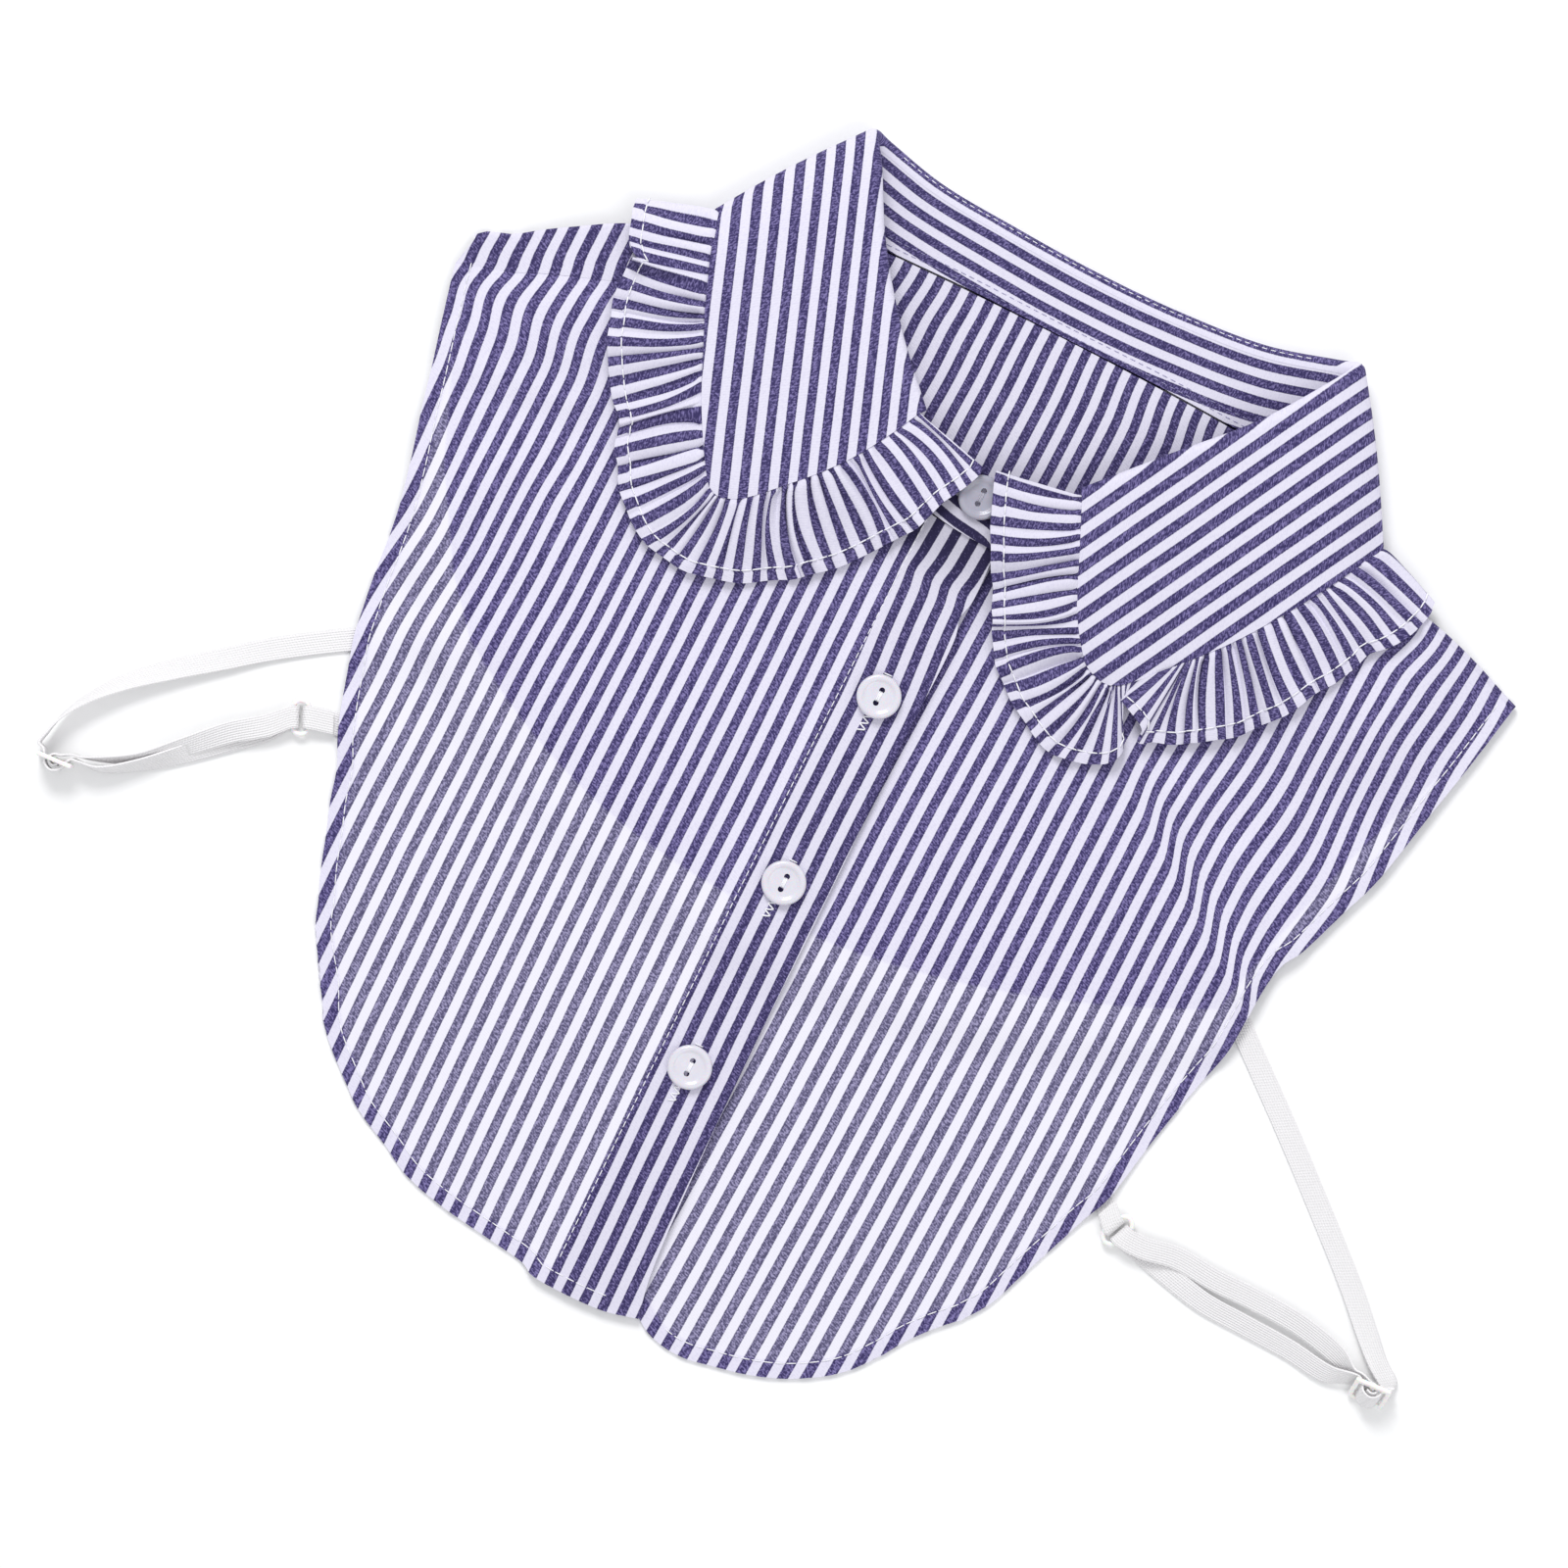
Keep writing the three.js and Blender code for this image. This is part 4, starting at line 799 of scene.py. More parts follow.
# The stand's lapped ends at the front carry painted shade in their banded mask: they lie in the hollow
# between the frill's ends.
masks = {"doubled": 1.0, "banded": 1 + 4 * at_front}
stand = cloth_mesh("stand", grid, pattern, STAND_WALL, masks=masks)
stand.data.materials.append(front_cloth)
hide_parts("collar_stand")
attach(stand, "root")
blue_thread = thread_material("blue_thread", (0.2, 0.18, 0.36), (0.42, 0.4, 0.6))
hidden = END_STEPS + 4 * SPAN_STEPS
for label, height in (("foot_stitches", 0.07), ("second_foot_stitches", 0.17)):
    row = foot * (1 - height) + crown * height
    upward = np.array([0, 0, STAND_WALL / 2 + 0.04])
    stitch_mesh(label, [row[hidden:-hidden] + upward], *FINE_STITCH, STRAND * 0.7, blue_thread)

# The collar leaf: two cloths of the shirting with a stiffener between them, stripes running with
# its length. It turns over the stand in a soft roll, lies on the fronts, and at the back of the
# neck it is folded under.
LEAF_WALL = 1.1
LEAF_COLUMNS_IN_ROLL = 9
LEFT_FRONT_EDGE = [(-24.5, 127), (-28, 120), (-32, 113), (-36, 107), (-42, 99.8), (-47, 94.6),
                   (-53, 88.5), (-57, 85.2), (-61.5, 83.4)]
RIGHT_FRONT_EDGE = [(23.5, 127), (26, 121.8), (30, 113), (33, 106), (36, 100), (39.5, 94.5),
                    (42, 91.2), (45.5, 87.6), (50.5, 86)]
# where the sewn outer edge lies on the fronts, from the point of the collar up to the shoulder
LEFT_OUTER = [(-61.5, 83.4), (-64.8, 84.2), (-69, 89.6), (-73.5, 96.8), (-78, 105), (-83.5, 117),
              (-87, 124.4), (-90, 132), (-93, 140), (-96, 150.5)]
RIGHT_OUTER = [(50.5, 86), (54, 86.3), (58, 89.5), (62, 93.8), (66, 98), (70, 102.7), (75, 108.5),
               (80, 115.2), (84, 121.2), (88, 127.3), (92, 134), (96, 141.2), (99, 147), (101, 151)]


def leaf_columns(share):
    """Rows of points across the leaf, from its turned-in edge over the roll to its outer seam."""
    fold, seam, down, out = roll_frame(share)
    from_left, from_right = share * COLLAR_SPANS, (1 - share) * COLLAR_SPANS
    for outer, table_rows, rows in ((LEFT_OUTER, COLLAR[:5], from_left),
                                    (RIGHT_OUTER, COLLAR[:-6:-1], from_right)):
        line = SmoothLine(table_rows[:, 4:6])
        length = np.interp(rows, line.by_row * 4, line.distance / line.length)
        seam[rows <= 4, :2] = SmoothLine(outer).at(length[rows <= 4])
    turns = np.linspace(0, math.pi, LEAF_COLUMNS_IN_ROLL)[None, :, None]
    inside = fold - out * ROLL
    rolled = (fold[:, None] - out[:, None] * ROLL * np.cos(turns)
              - down[:, None] * ROLL * np.sin(turns))
    outward = np.linspace(0, 1, 31)[None, 1:, None]
    crest = rolled[:, -1:]
    leaf = crest + (seam[:, None] - crest) * outward + out[:, None] * 0.8 * np.sin(outward * np.pi)
    for k, (row, edge) in enumerate(((0, LEFT_FRONT_EDGE), (-1, RIGHT_FRONT_EDGE))):
        line = SmoothLine(edge).at(outward[0, :, 0])
        start, stop = COLLAR[row, 0:2], seam[row, :2]
        bow = line - (start + (stop - start) * outward[0])
        near = 1 - ease(0, 2.2, np.abs(share - k) * COLLAR_SPANS)
        leaf[..., :2] += bow[None] * near[:, None, None]
    return np.concatenate([(inside + down * LEAF_TURN_IN)[:, None], rolled, leaf], 1)


grid = leaf_columns(collar_share)
steps = np.linalg.norm(np.diff(grid, axis=1), axis=-1)
from_roll = np.concatenate([np.zeros((len(grid), 1)), np.cumsum(steps, 1)], 1)
from_roll -= from_roll[:, 5:6]
travel = np.concatenate([[0], np.cumsum(np.linalg.norm(np.diff(grid[:, 20], axis=0), axis=1))])
round_back = -1.0 - from_roll
slanted = 0.938 * grid[..., 0] + 0.347 * grid[..., 1]
left_straight = slanted - 3.2 + 0.07 * np.maximum(0, slanted + 14)
right_straight = -0.883 * grid[..., 0] + 0.468 * grid[..., 1] - 23.13
at_left = (1 - ease(3.9, 5.2, collar_share * COLLAR_SPANS))[:, None] * np.ones_like(from_roll)
at_right = ease(10.8, 12.1, collar_share * COLLAR_SPANS)[:, None] * np.ones_like(from_roll)
across = round_back * (1 - at_left - at_right) + left_straight * at_left + right_straight * at_right
pattern = np.stack([across, np.broadcast_to(travel[:, None], across.shape)], -1)
leaf = cloth_mesh("leaf", grid, pattern, LEAF_WALL)
leaf.data.materials.append(shirting("leaf_shirting", 0.4))
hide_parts("collar_leaf")
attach(leaf, "root")
roll_line = grid[:, 3] + np.array([0, 0, 0.62])
stitch_mesh("roll_stitches", [roll_line[48:-48]], *FINE_STITCH, STRAND * 0.8, thread)

# The frill: a strip of the shirting with a rolled and topstitched edge, gathered along its other
# edge and sewn into the outer seam of the leaf, so its stripes fan out from the seam. At the right
# point of the collar the strip is folded over on itself.
FRILL_WIDE = 24
FRILL_HEM_SHARE = 3 / 23  # of the way from the edge to the seam
FRILL_COLUMNS, FRILL_ROWS = 12, 27
# Each row is one line of the cloth, most often the middle of a blue stripe: x y z on the seam,
# x y z on the edge (z 0: just over what is under it), height of the gathers, stripes since the row
# before (0: by its length), how far the line bows towards the row before, and how high it is lifted
# where the cloth is folded over itself.
FRILL = np.array([
    [-24.5, 127, 15.5, -3.4, 121.8, 16.4, 0.3, 0, 0, 0],
    [-24.8, 126.3, 15.5, -2.9, 120.2, 16.4, 0.3, 0.35, 0, 0],
    [-25.6, 124.6, 15.3, -4.1, 116.4, 16.3, 0.4, 1, 1.3, 0],
    [-27.6, 120.6, 15, -6.3, 112.3, 16.2, 0.4, 1, 1.8, 0],
    [-28.6, 118.8, 14.9, -8.4, 108.3, 15.7, 0.5, 1, 0.8, 0],
    [-31, 114.7, 14.5, -9.8, 104, 14.6, 0.6, 1, 0.6, 0],
    [-33, 111.6, 14.2, -11.2, 99.8, 13.2, 0.7, 1, -0.8, 0.3],
    [-34.3, 109.2, 14, -14, 95.9, 0, 0.6, 1, -0.6, 0],
    [-36.6, 106, 13.6, -16.7, 92.4, 0, 0.8, 1, 1.4, 0.6],
    [-38.7, 103.3, 13.2, -19.3, 88.5, 0, 0.9, 1, 0, 0.2],
    [-41, 100.8, 12.8, -22.7, 84, 0, 0.9, 1, 0, 0],
    [-43, 98.5, 12.5, -26.2, 80.4, 0, 1, 1, -1.4, 0],
    [-45.6, 95.9, 12, -30.2, 76.7, 0, 1, 1, -2, 0],
    [-47.6, 93.8, 11.6, -34.1, 73.2, 0, 1, 1, -1.5, 0],
    [-49.6, 91.8, 11.2, -38.6, 70.4, 0, 1, 1, -1.8, 0.4],
    [-51.8, 89.6, 10.8, -43.2, 67.7, 0, 1, 1, -0.3, 0],
    [-54.6, 87.2, 10.2, -47.9, 65.2, 0, 1, 1, -0.4, 0.3],
    [-56.8, 85.6, 9.8, -52.9, 63.5, 0, 0.7, 1, 0, 0],
    [-59.4, 84.2, 9.3, -58.1, 62.3, 0, 0.8, 1, 0.8, 0],
    [-61.8, 83.4, 9, -63.4, 61.9, 0, 0.8, 1, 0.3, 0],
    [-63, 83.6, 9, -68.5, 62.6, 0, 0.6, 1, 0, 0],
    [-64.4, 84, 9.1, -73.9, 63.7, 0, 0.9, 1, 1.5, 0.7],
    [-66.8, 86.4, 9.2, -78.7, 66.4, 0, 1, 1, 1, 0.3],
    [-68.6, 88.8, 9.3, -82.8, 69.8, 0, 1, 1, 0.5, 0],
    [-69.8, 90.6, 9.3, -86.7, 73.5, 0, 1, 1, 0.3, 0],
    [-71.4, 93, 9.4, -89.4, 78, 0, 1, 1, 0, 0],
    [-73.2, 96, 9.5, -91.9, 82.1, 0, 1, 1, -0.3, 0],
    [-75.2, 99.4, 9.6, -93.5, 86.4, 0, 0.7, 1, -1.7, 0],
    [-77.2, 103.2, 9.8, -93.9, 88, 0, 0.3, 0.3, -0.6, 0],
    [-77.7, 104.2, 9.9, -94.2, 88.6, 0, 0.4, 0.2, 0.3, 1.5],
    [-79.4, 107.6, 10.1, -95.4, 90.1, 0, 0.8, 0.5, 1.5, 1],
    [-80.8, 110.6, 10.3, -98.2, 93.2, 0, 1, 1, 0.9, 0.4],
    [-82, 113.4, 10.4, -101.2, 97.1, 0, 1, 1, 0.1, 0],
    [-83.2, 116.3, 10.6, -104.3, 101.7, 0, 1, 1, 0, 0],
    [-84.2, 118.7, 10.7, -107, 106.9, 0, 1, 1, 0.9, 0],
    [-85.6, 121.8, 10.8, -108.7, 111.9, 0, 1, 1, 0.8, 0],
    [-86.7, 124.3, 10.9, -110.2, 117, 0, 1, 1, 0.8, 0.3],
    [-87.8, 127, 11, -111.2, 122.4, 0, 0.9, 1, 0.7, 0],
    [-89, 130, 11, -111.4, 127, 0, 0.8, 1, 0.3, 0],
    [-90.2, 132.8, 11, -110.9, 128.8, 13, 0.5, 0.3, 0, 0],
    [-90.8, 134.3, 11, -109.2, 129.2, 10.8, 0.4, 0.4, 0, 0],
    [-91.5, 136, 10.9, -112.2, 131.2, 10.4, 0.6, 0.5, 0, 0],
    [-92.3, 138.2, 10.8, -114, 133.2, 0, 0.8, 0.8, 0, 0],
    [-93.8, 142.4, 10.5, -115.6, 137.6, 0, 0.9, 1, 0.5, 0],
    [-95.2, 147, 9, -117, 141.6, 7, 0.8, 1, 0.4, 0],
    [-96.5, 150.5, 6.5, -117, 143.4, 5, 0.7, 0.8, -1.5, 0],
    [-91, 149, 2.6, -106, 131, 0, 0.8, 0, 0, 0],
    [-66, 143, 1.6, -72, 120, 0, 1, 0, 1, 0],
    [-32, 138.5, 1.4, -34, 115, 0, 1, 0, -1, 0],
    [0, 137, 1.4, 0, 113.5, 0, 1, 0, 1, 0],
    [32, 138.5, 1.4, 34, 115, 0, 1, 0, -1, 0],
    [67, 143, 1.6, 73, 120, 0, 1, 0, 1, 0],
    [93, 150, 2.6, 108, 131, 0, 0.8, 0, 0, 0],
    [100.8, 151, 6.5, 119.4, 144.3, 5, 0.7, 0, 1.8, 0],
    [98.8, 147, 8.8, 120.3, 141.4, 6.8, 0.8, 1, 0.5, 0],
    [96.6, 142.6, 10.3, 119, 136.6, 0, 0.9, 1, 0.8, 0],
    [94.6, 138.6, 10.8, 117, 131.8, 0, 1, 1, 1, 0.3],
    [93, 135.8, 10.9, 114.2, 128, 0, 0.8, 1, 0.8, 0.9],
    [92, 134, 11, 110.6, 124.6, 0, 0.5, 1, 0, 0],
    [90.4, 131.3, 11, 109, 119.8, 0, 1, 1, 0.8, 0],
    [88.2, 127.7, 11, 106.8, 115.2, 0, 1, 1, 0.8, 0.2],
    [86, 124.3, 10.9, 104.2, 110.9, 0, 1, 1, 0.3, 0],
    [83.8, 120.9, 10.8, 101.9, 106.4, 0, 1, 1, -0.5, 0.5],
    [81.6, 117.6, 10.6, 99.4, 102.3, 0, 1, 1, -0.5, 0],
    [79.6, 114.6, 10.4, 96.4, 97.8, 0, 1, 1, 0, 0.5],
    [77.8, 112.1, 10.3, 93, 93.6, 0, 1, 1, 0.2, 0],
    [76, 109.7, 10.1, 89.8, 89.9, 0, 1, 1, 0.4, 0.5],
    [74.2, 107.5, 10, 85.9, 86.7, 0, 1, 1, 0, 0],
    [72, 105, 9.8, 82, 83.9, 0, 1, 1, -1.1, 0.4],
    [70.4, 103.1, 9.8, 78.4, 81.6, 0, 1, 1, -0.5, 0],
    [69.3, 101.8, 9.8, 74.4, 79.3, 0, 0.9, 1, -1.1, 0.5],
    [68.6, 101, 9.8, 70, 77.4, 0, 0.8, 1, -0.5, 0],
    [68.2, 100.5, 9.9, 66.9, 75.9, 6.6, 0.4, 0.7, 0, 0],
    [67.6, 99.8, 10.6, 66, 79.4, 7.9, 0.2, 0.75, 0, 0],
    [65.5, 97.4, 10.6, 60, 82.6, 8.4, 0.2, 1.4, 0, 0],
    [61.2, 92.9, 10, 56.8, 83.8, 7.6, 0.1, 0.65, 0, 0],
    [58.4, 89.8, 9.2, 57.4, 82, 6.4, 0.1, 0.35, 0, 0],
    [56.6, 88.2, 9.1, 60.8, 77.3, 5.9, 0.2, 1.2, 0, 0],
    [55.4, 87.2, 9.1, 63.9, 71.9, 5.9, 0.3, 1.25, 0, 0],
    [54.6, 86.6, 9, 62.6, 67.8, 6.2, 0.5, 0.9, 0, 0],
    [54, 86.3, 9, 58.8, 65.4, 0, 0.7, 0.8, 0, 0],
    [53, 86.2, 9, 53.2, 63.4, 0, 0.9, 1, 0.3, 0.3],
    [51.2, 86, 9, 48.6, 62.9, 0, 1, 1, 0.7, 0],
    [49.2, 86.3, 9.1, 43.4, 64.2, 0, 1, 1, 0.8, 0],
    [47.6, 87, 9.4, 38.6, 66.4, 0, 0.7, 1, 0, 0],
    [46, 88, 9.8, 33.6, 69.2, 0, 1, 1, 1.4, 0.6],
    [44.4, 89.3, 10.2, 29.3, 72.4, 0, 1, 1, 0.4, 0],
    [42.4, 91.4, 10.8, 25.3, 76, 0, 1, 1, -1.6, 0],
    [41, 93, 11.3, 22, 79.6, 0, 1, 1, -1, 0],
    [39.4, 95, 11.8, 19.4, 83, 0, 0.8, 1, -0.3, 0],
    [38.2, 96.8, 12.1, 18.2, 85.6, 0, 0.4, 0.5, 0.4, 0],
    [36.6, 99.2, 12.7, 17.9, 86.4, 0, 0.5, 0.8, 1.4, 1.4],
    [35.4, 101.2, 13, 17.3, 87.6, 0, 0.8, 0.7, 1.5, 1.2],
    [34, 104.1, 13.5, 16, 90.4, 0, 0.9, 1, -0.3, 0.5],
    [32.4, 107.8, 13.9, 14.2, 93.6, 0, 0.9, 1, -0.8, 0],
    [31, 111, 14.3, 12, 97.2, 0, 0.8, 1, 0.4, 0.2],
    [29.6, 114, 14.6, 9.6, 101.3, 13.9, 0.7, 1, 0.4, 0],
    [28.2, 117, 14.8, 7.4, 105.8, 15, 0.6, 1, 1.2, 0],
    [27, 119.6, 15, 5, 110.6, 15.9, 0.5, 1, 0.6, 0],
    [25.4, 123, 15.3, 2.6, 116, 16.2, 0.4, 1, 1, 0],
    [24, 126, 15.5, 0.9, 120.6, 16.4, 0.4, 1, 0.8, 0],
    [23.5, 127, 15.5, 0.4, 122.6, 16.4, 0.4, 0.4, 0, 0],
])
frill_random = random.Random(23)
for side, edges in ((-1, (LEFT_FRONT_EDGE, LEFT_OUTER)), (1, (RIGHT_FRONT_EDGE, RIGHT_OUTER))):
    leaf_line = np.vstack([SmoothLine(edge).points for edge in edges])
    for row in FRILL[(FRILL[:, 2] > 6) & (FRILL[:, 0] * side > 0)]:
        near = leaf_line[np.argmin(np.linalg.norm(leaf_line - row[:2], axis=1))]
        FRILL[np.all(FRILL == row, axis=1), :2] = near
seam_z = FRILL[:, 2]
laid = np.where(seam_z < 3, 0, top_height(FRILL[:, 3], FRILL[:, 4])) + 1.9
edge_height = np.where(FRILL[:, 5] > 0, FRILL[:, 5], laid)
lean_turned = np.interp(seam_z, [1.4, 1.6, 2.6, 6.5, 8.7], [-90, -88, -70, 0, 50])
lean_rows = np.where(seam_z < 8.7, lean_turned, 90 - 20 * ease(118, 141, FRILL[:, 1]))
rows = np.linspace(0, 1, (len(FRILL) - 1) * FRILL_COLUMNS + 1)
seam = SmoothLine(FRILL[:, 0:3]).row(rows)
edge = np.column_stack([SmoothLine(FRILL[:, 3:5]).row(rows), smooth_column(edge_height, rows)])
lean, rise, bow, fold_lift = (smooth_column(column, rows)
                              for column in (lean_rows, *FRILL[:, [6, 8, 9]].T))
run = edge - seam
level_run = run * (1, 1, 0) / np.linalg.norm(run[:, :2], axis=1, keepdims=True)
up = lean_normal(level_run, lean, seam[:, 0])
edge_length = np.linalg.norm(np.diff(edge, axis=0), axis=1).reshape(-1, FRILL_COLUMNS).sum(1)
row_cloth = np.where(FRILL[1:, 7] > 0, FRILL[1:, 7] * STRIPE_PERIOD, edge_length)
at_back = np.flatnonzero(FRILL[1:, 7] == 0)
row_cloth[at_back] += (-row_cloth[at_back].sum() - 0.8 * STRIPE_PERIOD) % STRIPE_PERIOD / len(at_back)
row_place = np.concatenate([[0], np.cumsum(row_cloth)]) - row_cloth[0]
along = np.interp(rows * (len(FRILL) - 1), np.arange(len(FRILL)), row_place)
FRILL_FLAT = along[-1] - along[0]
v = np.linspace(0, 1, FRILL_ROWS + 1)[None]
down_cloth = v + 0 * along[:, None]
cloth_place = along[:, None] + 0 * v
pleat_places = [-12.0]
while pleat_places[-1] < FRILL_FLAT + 12:
    pleat_places.append(pleat_places[-1] + frill_random.uniform(3.2, 8.5))
turn = np.interp(cloth_place, pleat_places, np.arange(len(pleat_places)))
reach, high, lap = (
    np.interp(cloth_place, pleat_places, [frill_random.uniform(low, top) for _ in pleat_places])
    for low, top in ((0.2, 1.0), (0.45, 1.4), (-0.9, 0.9)))
crest = np.abs(np.sin(np.pi * turn)) ** 0.75
tight = np.exp(-((v - 0.08) / (0.2 + 0.45 * reach)) ** 2) * ease(0, 0.05, v)
broad = ease(0.05, 0.8, v)
half = np.where(lean < 0, 0.9, 1.5)[:, None] * rise[:, None]
slow = ripple(cloth_place, 20 * down_cloth, 13, 2)
gathers = (1.5 * crest - 0.75) * tight * high
waves = broad * (0.3 * (2 * crest - 1) * high + 0.8 * slow)
lifted = half * (gathers + waves)
lifted += fold_lift[:, None] * ease(0, 0.2, v)
sway = broad * 0.6 * ripple(cloth_place, 12 * down_cloth + 60, 9, 6)
aside = (lap * tight * np.sin(2 * np.pi * turn) * high + sway) * rise[:, None]
aside -= bow[:, None] * np.sin(np.pi * v ** 0.85)
tangent = np.gradient(seam + edge, axis=0)
tangent /= np.linalg.norm(tangent, axis=1, keepdims=True)
for _ in range(8):
    tangent[1:-1] = (tangent[:-2] + tangent[1:-1] + tangent[2:]) / 3
grid = seam[:, None] * (1 - v[..., None]) + edge[:, None] * v[..., None]
grid = grid + up[:, None] * lifted[..., None]
grid = grid + tangent[:, None] * (aside * ease(0, 0.1, v))[..., None]
out_way = run / np.linalg.norm(run, axis=1, keepdims=True)
uneven = 0.6 * ripple(along, 0 * along, 8, 12)[:, None] * rise[:, None] * v ** 3
grid += out_way[:, None] * uneven[..., None]
hem_start = 1 - FRILL_HEM_SHARE
hem_part = ease(hem_start - 0.02, hem_start + 0.02, v) * np.ones_like(lifted)
shift = 1.7 * hem_part * ripple(cloth_place, 0 * cloth_place + 5, 7, 21)
pattern = np.stack([cloth_place + shift, v * FRILL_WIDE * np.ones_like(lifted)], -1)
frill = cloth_mesh("frill", grid, pattern, CLOTH + 0.45 * hem_part)
frill.data.materials.append(shirting("frill_shirting", 0.6))
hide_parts("collar_frill")
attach(frill, "root")
hem_row = round(hem_start * FRILL_ROWS)
hem_line = grid[:, hem_row]
upper = np.cross(np.gradient(hem_line, axis=0), grid[:, hem_row + 1] - grid[:, hem_row - 1])
upper *= (np.sign((upper * up).sum(1)) / np.linalg.norm(upper, axis=1))[:, None]
stitch_mesh("frill_stitches", [hem_line + upper * (CLOTH / 2 + 0.3)], 3.0, 2.8, 0.2, thread)

# Four two-hole shirt buttons turned from pale pearly resin: a rounded rim round a shallow dish. The
# lower three close the band, the top one closes the stand. White thread crosses between the holes.
BUTTON_RADIUS = 6.0
HOLE_RADIUS = 0.78
HOLE_APART = 3.7
DISH_FACE = 1.3
BAND_BUTTONS = (55.5, 0.0, -55.0)
BUTTONS = {"button_1": (0, 114.5, 13.1)}
for k, y in enumerate(BAND_BUTTONS):
    BUTTONS["button_%d" % (k + 2)] = (0, y, float(top_height(0.0, y + BUTTON_RADIUS)) + 0.8)


def pearl_material(name, dark, pale):
    material, shader = plain_material(name, pale, 0.22)
    n = Nodes(material.node_tree)
    place = n.new("TexCoord").outputs["Object"]
    cloud = n.noise(n.new("VectorMath", {"operation": "SCALE"}, Vector=place, Scale=260.0).outputs[0])
    n.feed(shader.inputs["Base Color"], n.mix(cloud, (*dark, 1), (*pale, 1)))
    n.feed(shader.inputs["Roughness"], n.math("MULTIPLY_ADD", cloud, 0.12, 0.2))
    shader.inputs["Subsurface Weight"].default_value = 0.15
    shader.inputs["Subsurface Scale"].default_value = 0.001
    shader.inputs["Coat Weight"].default_value = 0.3
    shader.inputs["Coat Roughness"].default_value = 0.1
    return material


pearl = pearl_material("pearl_resin", (0.67, 0.65, 0.73), (0.75, 0.735, 0.8))
# The top button lies in shade under the frill's ends: its resin and thread are darker copies of the others,
# as painted shade.
shaded_pearl = pearl_material("pearl_resin_painted_shade", (0.34, 0.335, 0.41), (0.43, 0.42, 0.5))
shaded_thread = thread_material("thread_painted_shade", (0.36, 0.35, 0.42), (0.5, 0.49, 0.57))
DISH = [(0, 0), (5.2, 0), (5.7, 0.18), (5.95, 0.5), (BUTTON_RADIUS, 0.9), (5.93, 1.3), (5.7, 1.62),
        (5.3, 1.78), (4.9, 1.8), (4.5, 1.72), (4.15, 1.5), (3.85, 1.36), (3.4, DISH_FACE),
        (2.0, 1.27), (0, 1.27)]


def lathe(name, profile, segments):
    """A turned solid: its profile of radius and height, carried round the upright axis."""
    turns = np.arange(segments) * 2 * math.pi / segments
    vertices = [(0, 0, profile[0][1]), (0, 0, profile[-1][1])]
    for radius, z in profile[1:-1]:
        vertices += [(radius * math.cos(a), radius * math.sin(a), z) for a in turns]
    faces = []
    for k in range(segments):
        after = (k + 1) % segments
        faces.append((0, 2 + after, 2 + k))
        for ring in range(len(profile) - 3):
            a, b = 2 + ring * segments + k, 2 + ring * segments + after
            faces.append((a, b, b + segments, a + segments))
        last = 2 + (len(profile) - 3) * segments
        faces.append((1, last + k, last + after))
    mesh = bpy.data.meshes.new(name)
    mesh.from_pydata([tuple(c * MM for c in p) for p in vertices], [], faces)
    piece = bpy.data.objects.new(name, mesh)
    bpy.context.scene.collection.objects.link(piece)
    return piece


def keep_modified_shape(piece):
    bpy.context.view_layer.update()
    modified = piece.evaluated_get(bpy.context.evaluated_depsgraph_get())
    made = bpy.data.meshes.new_from_object(modified)
    piece.modifiers.clear()
    piece.data = made


def cut(piece, tools):
    for tool in tools:
        modifier = piece.modifiers.new("hole", "BOOLEAN")
        modifier.object = tool
        modifier.solver = "EXACT"
    keep_modified_shape(piece)
    for tool in tools:
        bpy.data.objects.remove(tool)


for name, (x, y, z) in BUTTONS.items():
    button = lathe(name + "_pearl", DISH, 72)
    drills = []
    for end in (-1, 1):
        drill = lathe("drill", [(0, -3), (HOLE_RADIUS, -3), (HOLE_RADIUS, 5), (0, 5)], 24)
        for vertex in drill.data.vertices:
            vertex.co.y += end * HOLE_APART / 2 * MM
        drills.append(drill)
    cut(button, drills)
    button.data.transform(Matrix.Translation((x * MM, y * MM, z * MM)))
    button.data.shade_smooth()
    button.data.set_sharp_from_angle(angle=math.radians(40))
    button.data.materials.clear()
    button.data.materials.append(shaded_pearl if name == "button_1" else pearl)
    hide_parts(name)
    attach(button, "root")
    strand_length = HOLE_APART - 0.7
    strands = [[(x + shift, y + end * strand_length / 2, z + DISH_FACE) for end in (-1, 1)]
               for shift in (-0.32, 0.05, 0.34)]
    stitch_mesh(name + "_thread", strands, strand_length + 0.1, strand_length, 0.2,
                shaded_thread if name == "button_1" else thread)

# the seen ends of the buttonholes: a zigzag below the button and a bar above it
ZIGZAG_RISE = 0.95
zigzag_legs = [(step, 1.2 * (-1) ** i, ZIGZAG_RISE)
               for i, step in enumerate(np.arange(-10.4, -6.3, ZIGZAG_RISE))]
zigzags = []
for y in BAND_BUTTONS:
    for step, half, rise in zigzag_legs + [(6.25, 1.4, 0.1)]:
        xs = np.linspace(-half, half, 3) - 0.3
        ys = np.linspace(0, rise, 3) + y + step
        on_band = top_height(xs, ys) + (CLOTH + BAND_EXTRA) / 2 + 0.2
        zigzags.append(np.column_stack([xs, ys, on_band]))
stitch_mesh("buttonhole_stitches", zigzags, 2.5, 2.5, 0.22, thread)

# The side elastics: narrow white ribbed braid. Each runs from under the back's hem over the middle
# bar of its slider, out to the ring and back to the bar that its end is sewn round.
ELASTIC_WIDE = 6.0
ELASTIC_THICK = 0.8
BRAID_COLUMNS = 19
RING_WIRE, RING_BEND, RING_STRAIGHT = 0.7, 2.1, 4.8
BAR, PITCH, SLOT, RAIL, SLIDER_THICK = 1.2, 4.4, 6.6, 1.3, 1.2
